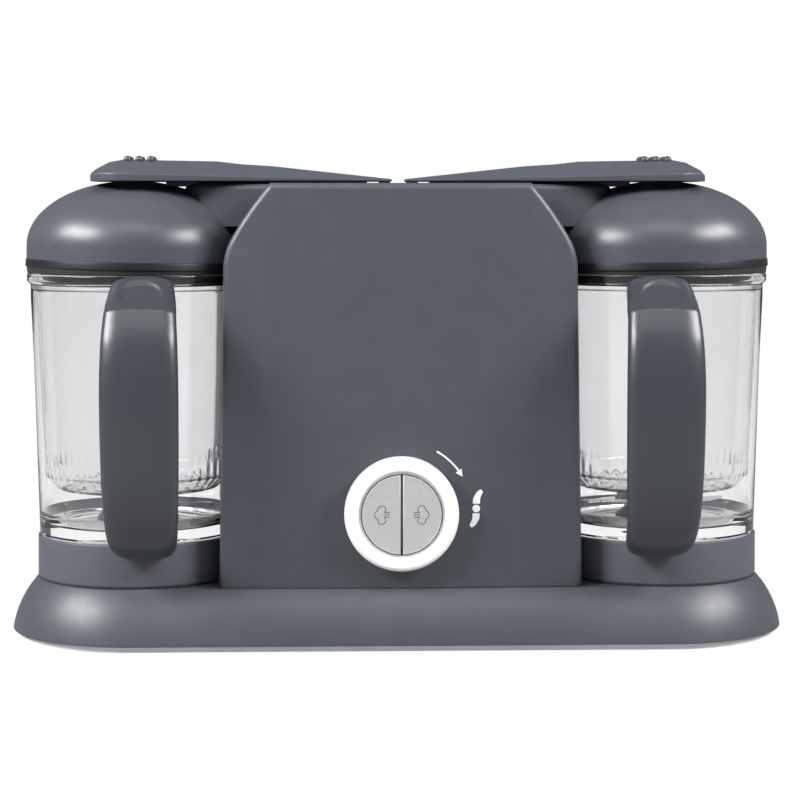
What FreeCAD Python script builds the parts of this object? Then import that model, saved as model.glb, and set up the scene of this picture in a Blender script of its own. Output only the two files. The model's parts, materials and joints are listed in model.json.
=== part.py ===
import FreeCAD, Part
import os
from math import atan2, cos, degrees, pi, radians, sin, sqrt
from types import SimpleNamespace

import Sketcher
from FreeCAD import Placement, Rotation, Vector

# A steamer and blender for baby food with two bowls. A tower stands between the bowls on one wide base. It
# holds the two boilers, the motor and the controls. Each bowl has a domed lid that swings up about a pin at
# the tower's top, with a lever lying on it. Row frame: X to the right, Y to the back, Z up, and the
# origin on the table under the middle of the whole thing.

DOC = FreeCAD.newDocument("food_maker")
SHEET = DOC.addObject("Spreadsheet::Sheet", "Sizes")

# The driving dimensions, in millimetres (angles in degrees).
SIZES = {
    # bowls and their places
    "bowl_x": 133.4, "bowl_y": -15.0, "seat_z": 30.3, "seat_gap": 0.3,
    "collar_r": 51.0, "collar_top": 52.0, "bowl_low_r": 50.1, "bowl_high_r": 53.0, "bowl_wall": 1.8,
    "floor_z": 57.5, "bowl_top": 184.6, "flange_low": 179.0, "flange_r": 54.8, "ledge_z": 176.8,
    "basket_floor": 75.0, "basket_top": 181.0, "basket_low_r": 46.8, "basket_high_r": 50.6,
    # base
    "base_r": 64.1, "base_front": -79.1, "base_back": 107.0, "skirt_low": 4.6, "skirt_r": 48.5,
    "shell": 3.0, "tray_inset": 3.0, "tray_low": 0.8, "tray_floor": 3.6,
    # tower
    "tower_front": -66.0, "cover_back": -50.0, "rear_front": 46.0, "rear_back": 100.0,
    "tower_low_half": 90.0, "tower_high_half": 87.0, "shoulder_z": 187.3, "shoulder_r": 31.3,
    "slope_r": 157.0, "slope_turn": 29.3,
    "tower_top": 229.7, "tower_low": 30.6, "wall": 2.8, "bulge_r": 1620.0, "scallop_r": 57.5,
    "deck_z": 207.0, "deck_thick": 2.6,
    # boilers
    "cup_x": 42.0, "cup_y": 0.0, "cup_r": 26.0, "cup_floor": 166.0, "cup_wall": 0.8,
    # knob and buttons
    "knob_z": 67.9, "knob_r": 28.15, "knob_hole_r": 21.2, "knob_front": -75.4, "carrier_r": 21.12,
    "peg_r": 1.5, "peg_reach": 24.7, "button_r": 19.7, "button_gap": 1.1, "button_front": -74.0,
    # lids, bridges, levers and their hinge
    "lid_r": 55.0, "lid_low": 188.5, "band_top": 192.4, "dome_z": 199.2, "dome_rise": 33.3,
    "lid_wall": 2.5, "lid_drop": 1.35, "lid_tilt": 1.2,
    "bridge_low": 208.3, "bridge_top": 229.3, "bridge_front": -40.0, "bridge_back": 36.0,
    "hinge_x": 7.0, "hinge_z": 227.5, "knuckle_r": 3.2, "pin_r": 1.5,
    # drive
    "motor_x": 30.0, "motor_y": 20.0, "motor_r": 29.0, "motor_low": 60.0, "motor_top": 132.0,
    "pulley_low": 12.0, "pulley_top": 22.0, "small_pulley_r": 9.0, "large_pulley_r": 20.0,
    "belt_thick": 1.6, "spindle_r": 4.0, "running": 0.05, "blade_shaft_r": 3.0,
    # handle
    "handle_x": 125.5, "handle_half": 18.7, "handle_low": 46.5, "handle_top": 184.4,
    # lead's gland in the rear cover
    "gland_x": -58.0, "gland_z": 50.0, "gland_r": 6.2, "gland_bore": 3.6,
}


class Dim:
    """A number that keeps the formula it comes from, so that a feature can be bound to the sheet."""

    def __init__(self, value, formula):
        self.value = value
        self.formula = formula

    def joined(self, sign, other, value):
        return Dim(value, f"({self.formula} {sign} {as_dim(other).formula})")

    def __add__(self, other):
        return self.joined("+", other, self.value + as_dim(other).value)

    def __radd__(self, other):
        return as_dim(other) + self

    def __sub__(self, other):
        return self.joined("-", other, self.value - as_dim(other).value)

    def __mul__(self, other):
        return self.joined("*", other, self.value * as_dim(other).value)

    def __truediv__(self, other):
        return self.joined("/", other, self.value / as_dim(other).value)

    def __neg__(self):
        return self * -1


def as_dim(number):
    return number if isinstance(number, Dim) else Dim(float(number), f"({float(number)})")


def fill_sheet():
    """Writes the driving dimensions into the sheet and returns them by name."""
    named = {}
    for row, (name, value) in enumerate(SIZES.items(), start=1):
        SHEET.set(f"A{row}", name)
        SHEET.set(f"B{row}", str(value))
        SHEET.setAlias(f"B{row}", name)
        named[name] = Dim(value, f"Sizes.{name}")
    DOC.recompute()
    return SimpleNamespace(**named)


dim = fill_sheet()
NODES = []


def node(name, piece):
    """Makes a finished object one of the sub-parts, under the name of its file."""
    piece.Label = name
    NODES.append(piece)
    return piece


def bind(thing, place, number):
    thing.setExpression(place, as_dim(number).formula)


def stand(thing, x, y, z, turn=None):
    """Puts an object at a point, turned if asked."""
    x, y, z = as_dim(x), as_dim(y), as_dim(z)
    thing.Placement = Placement(Vector(x.value, y.value, z.value), turn or Rotation())
    for axis, number in zip("xyz", (x, y, z)):
        bind(thing, f"Placement.Base.{axis}", number)
    return thing


def box(name, low, high):
    """Block between two corners."""
    block = DOC.addObject("Part::Box", name)
    for side, near, far in zip(("Length", "Width", "Height"), low, high):
        bind(block, side, as_dim(far) - near)
    return stand(block, *low)


def cylinder(name, radius, x, y, low, high):
    """Upright cylinder between two heights."""
    rod = DOC.addObject("Part::Cylinder", name)
    bind(rod, "Radius", radius)
    bind(rod, "Height", as_dim(high) - low)
    return stand(rod, x, y, low)


def cylinder_y(name, radius, x, z, front, back):
    """Cylinder lying front to back."""
    rod = DOC.addObject("Part::Cylinder", name)
    bind(rod, "Radius", radius)
    bind(rod, "Height", as_dim(back) - front)
    return stand(rod, x, front, z, Rotation(Vector(1, 0, 0), -90))


def cone(name, low_r, high_r, x, y, low, high):
    taper = DOC.addObject("Part::Cone", name)
    bind(taper, "Radius1", low_r)
    bind(taper, "Radius2", high_r)
    bind(taper, "Height", as_dim(high) - low)
    return stand(taper, x, y, low)


def ring_turn(name, radius, wire, x, y, z, turn=None):
    """One turn of a coil spring, drawn as a closed ring."""
    turn_of_wire = DOC.addObject("Part::Torus", name)
    bind(turn_of_wire, "Radius1", radius)
    bind(turn_of_wire, "Radius2", wire)
    return stand(turn_of_wire, x, y, z, turn)


def fuse(name, pieces):
    whole = DOC.addObject("Part::MultiFuse", name)
    whole.Shapes = pieces
    return whole


def cut(name, base, tools):
    """Base with every tool taken away."""
    left_over = DOC.addObject("Part::Cut", name)
    left_over.Base = base
    left_over.Tool = tools[0] if len(tools) == 1 else fuse(name + "_tools", tools)
    return left_over


def common(name, first, second):
    shared = DOC.addObject("Part::Common", name)
    shared.Base = first
    shared.Tool = second
    return shared


def group(name, pieces):
    """Separate solids of one kind in one sub-part."""
    bundle = DOC.addObject("Part::Compound", name)
    bundle.Links = pieces
    return bundle


def mirrored(name, piece):
    """The same piece for the left side."""
    twin = DOC.addObject("Part::Mirroring", name)
    twin.Source = piece
    twin.Base = Vector(0, 0, 0)
    twin.Normal = Vector(1, 0, 0)
    return twin


def origin_plane(body, role):
    return next(part for part in body.Origin.OriginFeatures if part.Role == role)


def arc_between(start, end, radius):
    """Arc of that radius, which bulges to the right of the way from start to end."""
    chord = end - start
    rise = radius - sqrt(radius**2 - (chord.Length / 2) ** 2)
    outward = Vector(chord.y, -chord.x, 0).normalize()
    return Part.Arc(start, (start + end) / 2 + outward * rise, end)


def outline(body, role, corners):
    """Closed sketch through the corners (across, up).

    A corner's third number is the radius of the arc that leads there.
    """
    sketch = body.newObject("Sketcher::SketchObject", body.Name + "_outline")
    sketch.AttachmentSupport = [(origin_plane(body, role), "")]
    sketch.MapMode = "FlatFace"
    spots = [Vector(as_dim(corner[0]).value, as_dim(corner[1]).value, 0) for corner in corners]
    count = len(corners)
    starts, ends = [], []
    for place in range(count):
        target = (place + 1) % count
        start, end = spots[place], spots[target]
        rounded = corners[target][2:]
        curve = Part.LineSegment(start, end)
        if rounded:
            curve = arc_between(start, end, as_dim(rounded[0]).value)
        sketch.addGeometry(curve, False)
        flipped = (sketch.Geometry[place].StartPoint - start).Length > 1e-6
        starts.append(2 if flipped else 1)
        ends.append(1 if flipped else 2)
    for place in range(count):
        target = (place + 1) % count
        sketch.addConstraint(Sketcher.Constraint("Coincident", place, ends[place], target, starts[target]))
        rounded = corners[target][2:]
        if rounded:
            radius = as_dim(rounded[0])
            tie = sketch.addConstraint(Sketcher.Constraint("Radius", place, radius.value))
            bind(sketch, f"Constraints[{tie}]", radius)
    for place, corner in enumerate(corners):
        for kind, number in zip(("DistanceX", "DistanceY"), corner):
            number = as_dim(number)
            tie = sketch.addConstraint(Sketcher.Constraint(kind, -1, 1, place, starts[place], number.value))
            bind(sketch, f"Constraints[{tie}]", number)
    return sketch


def turned(name, corners, x, y):
    """Solid of revolution about an upright axis, from corners given as (radius, height)."""
    body = DOC.addObject("PartDesign::Body", name)
    sketch = outline(body, "XZ_Plane", corners)
    spin = body.newObject("PartDesign::Revolution", name + "_turned")
    spin.Profile = sketch
    spin.ReferenceAxis = (sketch, ["V_Axis"])
    spin.Angle = 360
    return stand(body, x, y, 0)


def padded(name, role, corners, length):
    body = DOC.addObject("PartDesign::Body", name)
    pad = body.newObject("PartDesign::Pad", name + "_pad")
    pad.Profile = outline(body, role, corners)
    bind(pad, "Length", length)
    return body


def plate_xz(name, corners, front, back):
    """Outline seen from the front, as thick as the way from front to back."""
    return stand(padded(name, "XZ_Plane", corners, as_dim(back) - front), 0, back, 0)


def plate_yz(name, corners, low, high):
    """Outline seen from the right, from one X to another."""
    return stand(padded(name, "YZ_Plane", corners, as_dim(high) - low), low, 0, 0)


def plate_xy(name, corners, low, high):
    """Outline seen from above, from one height to another."""
    return stand(padded(name, "XY_Plane", corners, as_dim(high) - low), 0, 0, low)


def rounded_edges(name, piece, radius, wanted):
    """Rounds those edges of a finished piece whose middle and direction pass the test."""
    DOC.recompute()
    smooth = DOC.addObject("Part::Fillet", name)
    smooth.Base = piece
    picked = []
    for number, edge in enumerate(piece.Shape.Edges, start=1):
        if wanted(edge):
            picked.append((number, as_dim(radius).value, as_dim(radius).value))
    smooth.Edges = picked
    return smooth


# ---------------------------------------------------------------- base


def corner_places(front, back):
    return [(side * dim.bowl_x.value, y) for side in (-1, 1) for y in (front, back)]


def slab(name, inset, low, high, arched):
    """Rounded slab with the base's plan, in by some millimetres, its side curved or upright."""
    edge = dim.base_r - inset
    front = dim.base_front + dim.base_r
    back = dim.base_back - dim.base_r
    low, high = as_dim(low), as_dim(high)
    top = (dim.collar_r - inset, high, dim.skirt_r - inset) if arched else (edge, high)
    profile = [(0, low), (edge, low), top, (0, high)]
    pieces = []
    for side in (-1, 1):
        for end, y in (("front", front), ("back", back)):
            word = f"{name}_{end}_{'right' if side > 0 else 'left'}"
            pieces.append(turned(word, profile, dim.bowl_x * side, y))
    reach = top[0]
    bend = top[2:]
    across = [
        (-dim.bowl_x - edge, low), (dim.bowl_x + edge, low), (dim.bowl_x + reach, high, *bend),
        (-dim.bowl_x - reach, high),
    ]
    along = [(front - edge, low), (back + edge, low), (back + reach, high, *bend), (front - reach, high)]
    if arched:
        across[0] = across[0] + bend
        along[0] = along[0] + bend
    pieces.append(plate_xz(name + "_wide", across, front, back))
    pieces.append(plate_yz(name + "_deep", along, -dim.bowl_x, dim.bowl_x))
    return fuse(name, pieces)


SCREW_PLACES = [(-160, -42), (160, -42), (-160, 68), (160, 68), (-48, -58), (48, -58), (-48, 84), (48, 84)]
FOOT_PLACES = [(-136, -46), (136, -46), (0, -56), (-136, 74), (136, 74), (0, 82)]


def base_shell():
    """Hollow skirted shell that carries everything, with screw bosses and the spindle's housing."""
    outside = slab("skirt", 0, dim.skirt_low, dim.seat_z, True)
    inside = slab("skirt_inside", dim.shell, dim.skirt_low - 1, dim.seat_z - dim.shell, True)
    motor_way = cylinder("motor_way", 15, dim.motor_x, dim.motor_y, 20, 40)
    wiring_way = box("wiring_way", (-50, 44, 20), (-20, 70, 40))
    hollow = cut("skirt_hollow", outside, [inside, motor_way, wiring_way])
    solid, holes = [hollow], []
    for count, (x, y) in enumerate(SCREW_PLACES):
        solid.append(cylinder(f"boss_{count}", 4.5, x, y, dim.tray_floor + 0.2, dim.seat_z - 1))
        holes.append(cylinder(f"boss_hole_{count}", 1.7, x, y, dim.tray_floor - 1, 17))
    solid.append(cylinder("spindle_housing", 12, dim.bowl_x, dim.bowl_y, 23, dim.seat_z - 1))
    holes.append(cylinder("spindle_housing_hole", 8, dim.bowl_x, dim.bowl_y, 20, 40))
    return cut("base_shell", fuse("base_shell_solid", solid), holes)


def base_tray():
    """Pale tray that closes the base from below, with wells for the feet and the screw heads."""
    outside = slab("tray_outside", dim.tray_inset, dim.tray_low, dim.skirt_low - 0.1, False)
    inside = slab("tray_inside", dim.tray_inset + 3, dim.tray_floor, dim.skirt_low + 5, False)
    tools = [inside]
    for count, (x, y) in enumerate(SCREW_PLACES):
        tools.append(cylinder(f"screw_way_{count}", 1.9, x, y, 0, 10))
        tools.append(cylinder(f"screw_well_{count}", 3.8, x, y, 0, 2.2))
    for count, (x, y) in enumerate(FOOT_PLACES):
        tools.append(cylinder(f"foot_well_{count}", 9.2, x, y, 0, 2.3))
    return cut("base_tray", outside, tools)


def rubber_feet():
    feet = []
    for count, (x, y) in enumerate(FOOT_PLACES):
        feet.append(cone(f"foot_{count}", 8.4, 9, x, y, 0, 2.3))
    return group("rubber_feet", feet)


def tray_screws():
    screws = []
    for count, (x, y) in enumerate(SCREW_PLACES):
        head = cylinder(f"screw_head_{count}", 3.3, x, y, 1, 2.2)
        shank = cylinder(f"screw_shank_{count}", 1.6, x, y, 2.2, 15)
        slot = box(f"screw_slot_{count}", (x - 2.4, y - 0.4, 0.5), (x + 2.4, y + 0.4, 1.5))
        screws.append(cut(f"screw_{count}", fuse(f"screw_body_{count}", [head, shank]), [slot]))
    return group("tray_screws", screws)


# ---------------------------------------------------------------- tower


def tower_block(name, inset, front, back, low, bulging=False):
    """Block with the tower's outline seen from the front: straight sides, round shoulders, long slopes."""
    top = dim.tower_top - inset
    low_half = dim.tower_low_half - inset
    high_half = dim.tower_high_half - inset
    radius = dim.shoulder_r - inset
    centre = dim.tower_high_half - dim.shoulder_r
    sides = [(-low_half, low), (low_half, low), (high_half, dim.shoulder_z), (-high_half, dim.shoulder_z)]
    turn = radians(dim.slope_turn.value)
    across, up = cos(turn), sin(turn)
    beyond = dim.slope_r - dim.shoulder_r
    edge_x, edge_z = centre + across * 40.0, dim.shoulder_z + up * 40.0
    crown = [
        (-centre, dim.shoulder_z), (centre, dim.shoulder_z), (edge_x, edge_z),
        (edge_x, 240), (-edge_x, 240), (-edge_x, edge_z),
    ]
    slopes = plate_xz(name + "_crown", crown, front, back)
    pieces = [plate_xz(name + "_sides", sides, front, back)]
    for side, word in ((-1, "left"), (1, "right")):
        round_x = centre * side
        pieces.append(cylinder_y(f"{name}_shoulder_{word}", radius, round_x, dim.shoulder_z, front, back))
        slope_x, slope_z = (centre - beyond * across) * side, dim.shoulder_z - beyond * up
        disc = cylinder_y(f"{name}_slope_{word}", dim.slope_r - inset, slope_x, slope_z, front, back)
        slopes = common(f"{name}_sloped_{word}", slopes, disc)
    headroom = box(name + "_headroom", (-95, front, low), (95, back, top))
    whole = common(name + "_topped", fuse(name + "_all", pieces + [slopes]), headroom)
    if not bulging:
        return whole
    bulge = cylinder(name + "_bulge", dim.bulge_r, 0, as_dim(front) + dim.bulge_r, 0, 260)
    return common(name, whole, bulge)


def peg_slot(name, front, back):
    """Curved slot that the knob's peg moves along, from the top round to the right."""
    middle, half, reach = dim.peg_reach, dim.peg_r + 0.4, 56
    sector = DOC.addObject("Part::Cylinder", name + "_sector")
    bind(sector, "Radius", middle + half)
    bind(sector, "Height", back - front)
    sector.Angle = reach
    stand(sector, 0, front, dim.knob_z, Rotation(Vector(1, 0, 0), -90) * Rotation(Vector(0, 0, 1), -98))
    return cut(name, sector, [cylinder_y(name + "_core", middle - half, 0, dim.knob_z, front - 1, back + 1)])


def front_cover():
    """Front panel with its short side walls, the knob's hole and the slot for the knob's peg."""
    block = tower_block("front_block", 0, dim.tower_front, dim.cover_back, dim.tower_low, bulging=True)

    def at_front(edge):
        spots = [edge.valueAt(edge.FirstParameter), edge.valueAt(edge.LastParameter)]
        return all(spot.y < -62 for spot in spots) and max(spot.z for spot in spots) > 32

    block = rounded_edges("front_rounded", block, 2.2, at_front)
    behind = dim.cover_back - dim.wall
    hollow = tower_block("front_hollow", dim.wall, dim.tower_front + 5.5, behind, dim.tower_low - 5)
    top = dim.deck_z - dim.deck_thick
    opening = box("front_opening", (-78, behind - 1, 20), (78, dim.cover_back + 1, top))
    knob_hole = cylinder_y("carrier_hole", dim.carrier_r + 0.1, 0, dim.knob_z, -70, -55)
    shell = cut("front_shell", block, [hollow, opening, knob_hole, peg_slot("panel_slot", -70, -54)])
    solid = [shell]
    for x in (-44, 44):
        for z in (42, 108):
            solid.append(cylinder_y(f"board_post_{x}_{z}", 3, x, z, dim.tower_front + 5, -47))
    return fuse("front_cover", solid)


def side_panels():
    """Two side panels of the tower, scalloped round the bowls; the deck lies on top of them."""
    wall = dim.wall
    front, back = dim.cover_back, dim.rear_front
    below_deck = box("mid_below_deck", (-95, front, dim.tower_low), (95, back, dim.deck_z - dim.deck_thick))
    block = common("mid_block", tower_block("mid_outline", 0, front, back, dim.tower_low), below_deck)
    inner = tower_block("mid_inner", wall, front - 5, back + 5, 20)
    outer_tools, inner_tools = [], []
    for side, word in ((-1, "left"), (1, "right")):
        x = dim.bowl_x * side
        outer_tools.append(cylinder(f"scallop_{word}", dim.scallop_r, x, dim.bowl_y, 0, 260))
        inner_tools.append(cylinder(f"scallop_inner_{word}", dim.scallop_r + wall, x, dim.bowl_y, 0, 260))
    return cut("side_panels", cut("mid_outside", block, outer_tools), [cut("mid_hollow", inner, inner_tools)])


def rear_cover():
    """Back of the tower, rounded at its rear edges, with vents and the hole for the lead's gland."""
    block = tower_block("rear_block", 0, dim.rear_front, dim.rear_back, dim.tower_low)

    def at_back(edge):
        spots = [edge.valueAt(edge.FirstParameter), edge.valueAt(edge.LastParameter)]
        return all(spot.y > 99 for spot in spots) and max(spot.z for spot in spots) > 32

    block = rounded_edges("rear_rounded", block, 9, at_back)
    front, back, wall = dim.rear_front, dim.rear_back, dim.wall
    tools = [
        tower_block("rear_hollow", wall, front + wall, back - wall - 1, dim.tower_low - 5),
        box("rear_opening", (-78, front - 1, 20), (78, front + 5, dim.deck_z - dim.deck_thick)),
    ]
    vents, first_vent, pitch, vent_half, vent_tall = 9, 70, 8, 28, 3
    for count in range(vents):
        z = first_vent + pitch * count
        tools.append(box(f"vent_{count}", (-vent_half, back - 10, z), (vent_half, back + 5, z + vent_tall)))
    tools.append(cylinder_y("gland_hole", dim.gland_r, dim.gland_x, dim.gland_z, back - 10, back + 5))
    return cut("rear_cover", block, tools)


def deck():
    """Deck of the channel under the lids' bridges, with the boilers' holes and the hinge's lugs."""
    low = dim.deck_z - dim.deck_thick
    plate = box("deck_plate", (-95, dim.cover_back, low), (95, dim.rear_front, dim.deck_z))
    outline = tower_block("deck_outline", 0, dim.cover_back, dim.rear_front, dim.tower_low)
    plate = common("deck_trimmed", plate, outline)
    solid, holes = [], []
    for side, word in ((-1, "left"), (1, "right")):
        holes.append(cylinder(f"deck_scallop_{word}", dim.scallop_r, dim.bowl_x * side, dim.bowl_y, 190, 220))
        holes.append(cylinder(f"deck_hole_{word}", dim.cup_r + 0.5, dim.cup_x * side, dim.cup_y, 190, 220))
    for end, front, back in (("front", -49, -42), ("back", 38, 45)):
        for side, word in ((-1, "left"), (1, "right")):
            x, z = dim.hinge_x * side, dim.hinge_z
            solid.append(cylinder_y(f"lug_{end}_{word}", dim.knuckle_r, x, z, front, back))
            holes.append(cylinder_y(f"lug_hole_{end}_{word}", dim.pin_r + 0.02, x, z, front - 1, back + 1))
        reach = dim.hinge_x + dim.knuckle_r
        solid.append(box(f"lug_block_{end}", (-reach, front, low), (reach, back, dim.hinge_z - 1)))
    return cut("deck", fuse("deck_solid", [plate] + solid), holes)


def hinge_pins():
    pins = []
    for side, word in ((-1, "left"), (1, "right")):
        pins.append(cylinder_y(f"pin_{word}", dim.pin_r, dim.hinge_x * side, dim.hinge_z, -49, 45))
    return group("hinge_pins", pins)


def boiler(side, word):
    """Steel cup that the water is poured into, hung in the deck by its flange, and the heater under it."""
    x, y = dim.cup_x * side, dim.cup_y
    radius, wall, low = dim.cup_r, dim.cup_wall, dim.cup_floor
    cup = turned(
        f"boiler_cup_{word}_turned",
        [
            (0, low), (radius - 4, low), (radius, low + 4), (radius, dim.deck_z), (radius + 2.5, dim.deck_z),
            (radius + 2.5, dim.deck_z + wall), (radius - wall, dim.deck_z + wall), (radius - wall, low + 4.4),
            (radius - 4.4, low + wall), (0, low + wall),
        ],
        x, y,
    )
    node(f"boiler_cup_{word}", cup)
    plate = cylinder(f"heater_plate_{word}", radius - 4, x, y, low - 8, low)
    pads = [plate]
    for tab_y in (-14, 14):
        tab = f"heater_tab_{word}_{tab_y}"
        pads.append(box(tab, (x - 3, tab_y - 1, low - 20), (x + 3, tab_y + 1, low - 7)))
    node(f"heater_{word}", fuse(f"heater_{word}_all", pads))


def control_board():
    """Circuit board upright behind the knob, on four posts, with its relay and terminal blocks."""
    board = box("board", (-48, -47, 38), (48, -45.4, 112))
    parts = [board]
    parts.append(box("relay", (-40, -45.4, 84), (-22, -33, 100)))
    parts.append(box("terminals", (8, -45.4, 96), (42, -36, 106)))
    for count, x in enumerate((-4, 14)):
        parts.append(cylinder_y(f"capacitor_{count}", 5, x, 84, -45.4, -30))
    return fuse("control_board", parts)


def switches():
    """Three small switches on the board: two under the steam buttons and one for the knob."""
    blocks = []
    for count, (x, z) in enumerate(((-9, 0), (9, 0), (0, 32))):
        high = dim.knob_z + z
        body = box(f"switch_block_{count}", (x - 5, -54, high - 4), (x + 5, -47, high + 4))
        stem = cylinder_y(f"switch_stem_{count}", 1.5, x, high, -56, -54)
        blocks.append(fuse(f"switch_{count}", [body, stem]))
    return group("switches", blocks)


# ---------------------------------------------------------------- knob and steam buttons


def button_carrier():
    """Fixed sleeve that the knob turns on and the two buttons slide in."""
    z = dim.knob_z
    sleeve = cylinder_y("carrier_sleeve", dim.carrier_r, 0, z, -74.2, -51)
    flange = cylinder_y("carrier_flange", 30, 0, z, dim.tower_front + 5.5, -58)
    bore = cylinder_y("carrier_bore", dim.button_r + 0.4, 0, z, -76, -63.6)
    tools = [bore]
    for side in (-1, 1):
        tools.append(cylinder_y(f"carrier_stem_way_{side}", 2.2, 9 * side, z, -64, -50))
    tools.append(peg_slot("flange_slot", -62, -56))
    tools.append(cylinder_y("carrier_tail_bore", 18, 0, z, -57, -50))
    return cut("button_carrier", fuse("carrier_solid", [sleeve, flange]), tools)


def knob_ring():
    """White ring, rounded at the front, with the peg that works the switch behind the panel."""
    z = dim.knob_z
    ring = cylinder_y("ring_outside", dim.knob_r, 0, z, dim.knob_front, -66.4)
    ring = rounded_edges("ring_rounded", ring, 2.6, lambda edge: edge.BoundBox.YMax < -75)
    peg = cylinder_y("ring_peg", dim.peg_r, 0, z + dim.peg_reach, -67, -56.5)
    hole = cylinder_y("ring_hole", dim.knob_hole_r, 0, z, -80, -60)
    return cut("knob_ring", fuse("ring_solid", [ring, peg]), [hole])


def steam_buttons():
    """Two half-round buttons, each with blind holes behind for its springs and a stem for its switch."""
    z = dim.knob_z
    disc = cylinder_y("button_disc", dim.button_r, 0, z, dim.button_front, -66)
    disc = rounded_edges("button_rounded", disc, 0.6, lambda edge: edge.BoundBox.YMax < -73)
    half = box("button_half", (dim.button_gap / 2, -80, 30), (30, -60, 110))
    tools = []
    for high in (-8, 8):
        tools.append(cylinder_y(f"button_spring_hole_{high}", 3, 9, z + high, -71.5, -60))
    stem = cylinder_y("button_stem", 1.8, 9, z, -66, -57.8)
    whole = fuse("button_right_solid", [common("button_right_half", disc, half), stem])
    right = cut("steam_button_right", whole, tools)
    node("steam_button_right", right)
    node("steam_button_left", mirrored("steam_button_left", right))


def button_springs():
    """Four small springs behind the buttons, drawn at their pressed length."""
    coils = []
    lying = Rotation(Vector(1, 0, 0), -90)
    for side in (-1, 1):
        for high in (-8, 8):
            for count in range(5):
                word = f"button_turn_{side}_{high}_{count}"
                y = -64 - 0.9 * count
                coils.append(ring_turn(word, 2.1, 0.35, 9 * side, y, dim.knob_z + high, lying))
    return group("button_springs", coils)


def knob_spring():
    """Spring that turns the knob back, round the carrier's sleeve behind its flange."""
    lying = Rotation(Vector(1, 0, 0), -90)
    turns = []
    for count in range(4):
        turns.append(ring_turn(f"knob_turn_{count}", 21.9, 0.6, 0, -57.2 + 1.4 * count, dim.knob_z, lying))
    return group("knob_spring", turns)


# ---------------------------------------------------------------- drive


def motor_parts():
    """Upright motor on its bracket, the rotor with its pulley, and the belt to the right-hand spindle."""
    x, y = dim.motor_x, dim.motor_y
    can = cylinder("motor_can", dim.motor_r, x, y, dim.motor_low, dim.motor_top)
    nose = cylinder("motor_nose", 11, x, y, dim.motor_low - 6, dim.motor_low)
    cap = cylinder("motor_cap", 14, x, y, dim.motor_top, dim.motor_top + 6)
    shaft_way = cylinder("motor_shaft_way", 3 + dim.running, x, y, 40, dim.motor_top - 6)
    node("motor", cut("motor", fuse("motor_all", [can, nose, cap]), [shaft_way]))

    plate = box("bracket_plate", (x - 34, y - 34, dim.motor_low - 3), (x + 34, y + 34, dim.motor_low))
    legs = [plate]
    for across in (-28, 28):
        for along in (-28, 28):
            word = f"bracket_leg_{across}_{along}"
            near = (x + across - 5, y + along - 5, dim.seat_z)
            legs.append(box(word, near, (x + across + 5, y + along + 5, dim.motor_low - 3)))
    hole = cylinder("bracket_hole", 11.1, x, y, 40, 70)
    node("motor_bracket", cut("motor_bracket", fuse("bracket_all", legs), [hole]))

    shaft = cylinder("rotor_shaft", 3, x, y, 9, dim.motor_top - 7)
    node("motor_shaft", shaft)
    node("motor_pulley", pulley("motor_pulley", dim.small_pulley_r, x, y, 3))
    large = pulley("spindle_pulley", dim.large_pulley_r, dim.bowl_x, dim.bowl_y, dim.spindle_r)
    node("spindle_pulley", large)
    node("drive_belt", belt())


def pulley(name, radius, x, y, bore):
    """Flanged pulley whose bore fits its shaft."""
    drum = cylinder(name + "_drum", radius, x, y, dim.pulley_low, dim.pulley_top)
    rims = [drum]
    for word, low in (("low", dim.pulley_low), ("high", dim.pulley_top - 1)):
        rims.append(cylinder(f"{name}_rim_{word}", radius + 1.8, x, y, low, low + 1))
    return cut(name, fuse(name + "_all", rims), [cylinder(name + "_bore", bore, x, y, 0, 40)])


def belt():
    """Endless belt round both pulleys, in one piece of even thickness, a little clear of them."""
    run_x = dim.bowl_x.value - dim.motor_x.value
    run_y = dim.bowl_y.value - dim.motor_y.value
    reach = sqrt(run_x**2 + run_y**2)
    heading = atan2(run_y, run_x)
    lean = (dim.large_pulley_r.value - dim.small_pulley_r.value) / reach

    def loop(extra):
        near, far = dim.small_pulley_r.value + extra, dim.large_pulley_r.value + extra
        up = sqrt(1 - lean**2)
        touch = Vector(-lean, up, 0)
        end = Vector(reach, 0, 0)
        low = Vector(touch.x, -touch.y, 0)
        edges = [
            Part.LineSegment(touch * near, end + touch * far).toShape(),
            Part.Arc(end + touch * far, end + Vector(far, 0, 0), end + low * far).toShape(),
            Part.LineSegment(end + low * far, low * near).toShape(),
            Part.Arc(low * near, Vector(-near, 0, 0), touch * near).toShape(),
        ]
        return Part.Face(Part.Wire(edges))

    clear = 0.2
    band = loop(clear + dim.belt_thick.value).cut(loop(clear))
    strap = DOC.addObject("Part::Feature", "drive_belt")
    height = dim.pulley_top.value - dim.pulley_low.value - 3
    strap.Shape = band.extrude(Vector(0, 0, height))
    start = Vector(dim.motor_x.value, dim.motor_y.value, dim.pulley_low.value + 1.5)
    strap.Placement = Placement(start, Rotation(Vector(0, 0, 1), degrees(heading)))
    return strap


def hexagon(name, across, x, y, low, high):
    """Upright six-sided prism, its size measured to the corners."""
    prism = DOC.addObject("Part::Prism", name)
    prism.Polygon = 6
    bind(prism, "Circumradius", across)
    bind(prism, "Height", as_dim(high) - low)
    return stand(prism, x, y, low)


def spindle_parts():
    """Spindle under the right-hand bowl, its bush and the six-sided dog on top."""
    x, y = dim.bowl_x, dim.bowl_y
    shaft = cylinder("spindle_shaft", dim.spindle_r, x, y, 10, 31)
    node("spindle", shaft)
    sleeve = cylinder("spindle_bush_outside", 8, x, y, 23, dim.seat_z - 0.3)
    bore = cylinder("spindle_bush_bore", dim.spindle_r + dim.running, x, y, 20, 40)
    node("spindle_bush", cut("spindle_bush", sleeve, [bore]))
    node("drive_dog", hexagon("drive_dog", 8, x, y, 31, 38))


# ---------------------------------------------------------------- bowls


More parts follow.
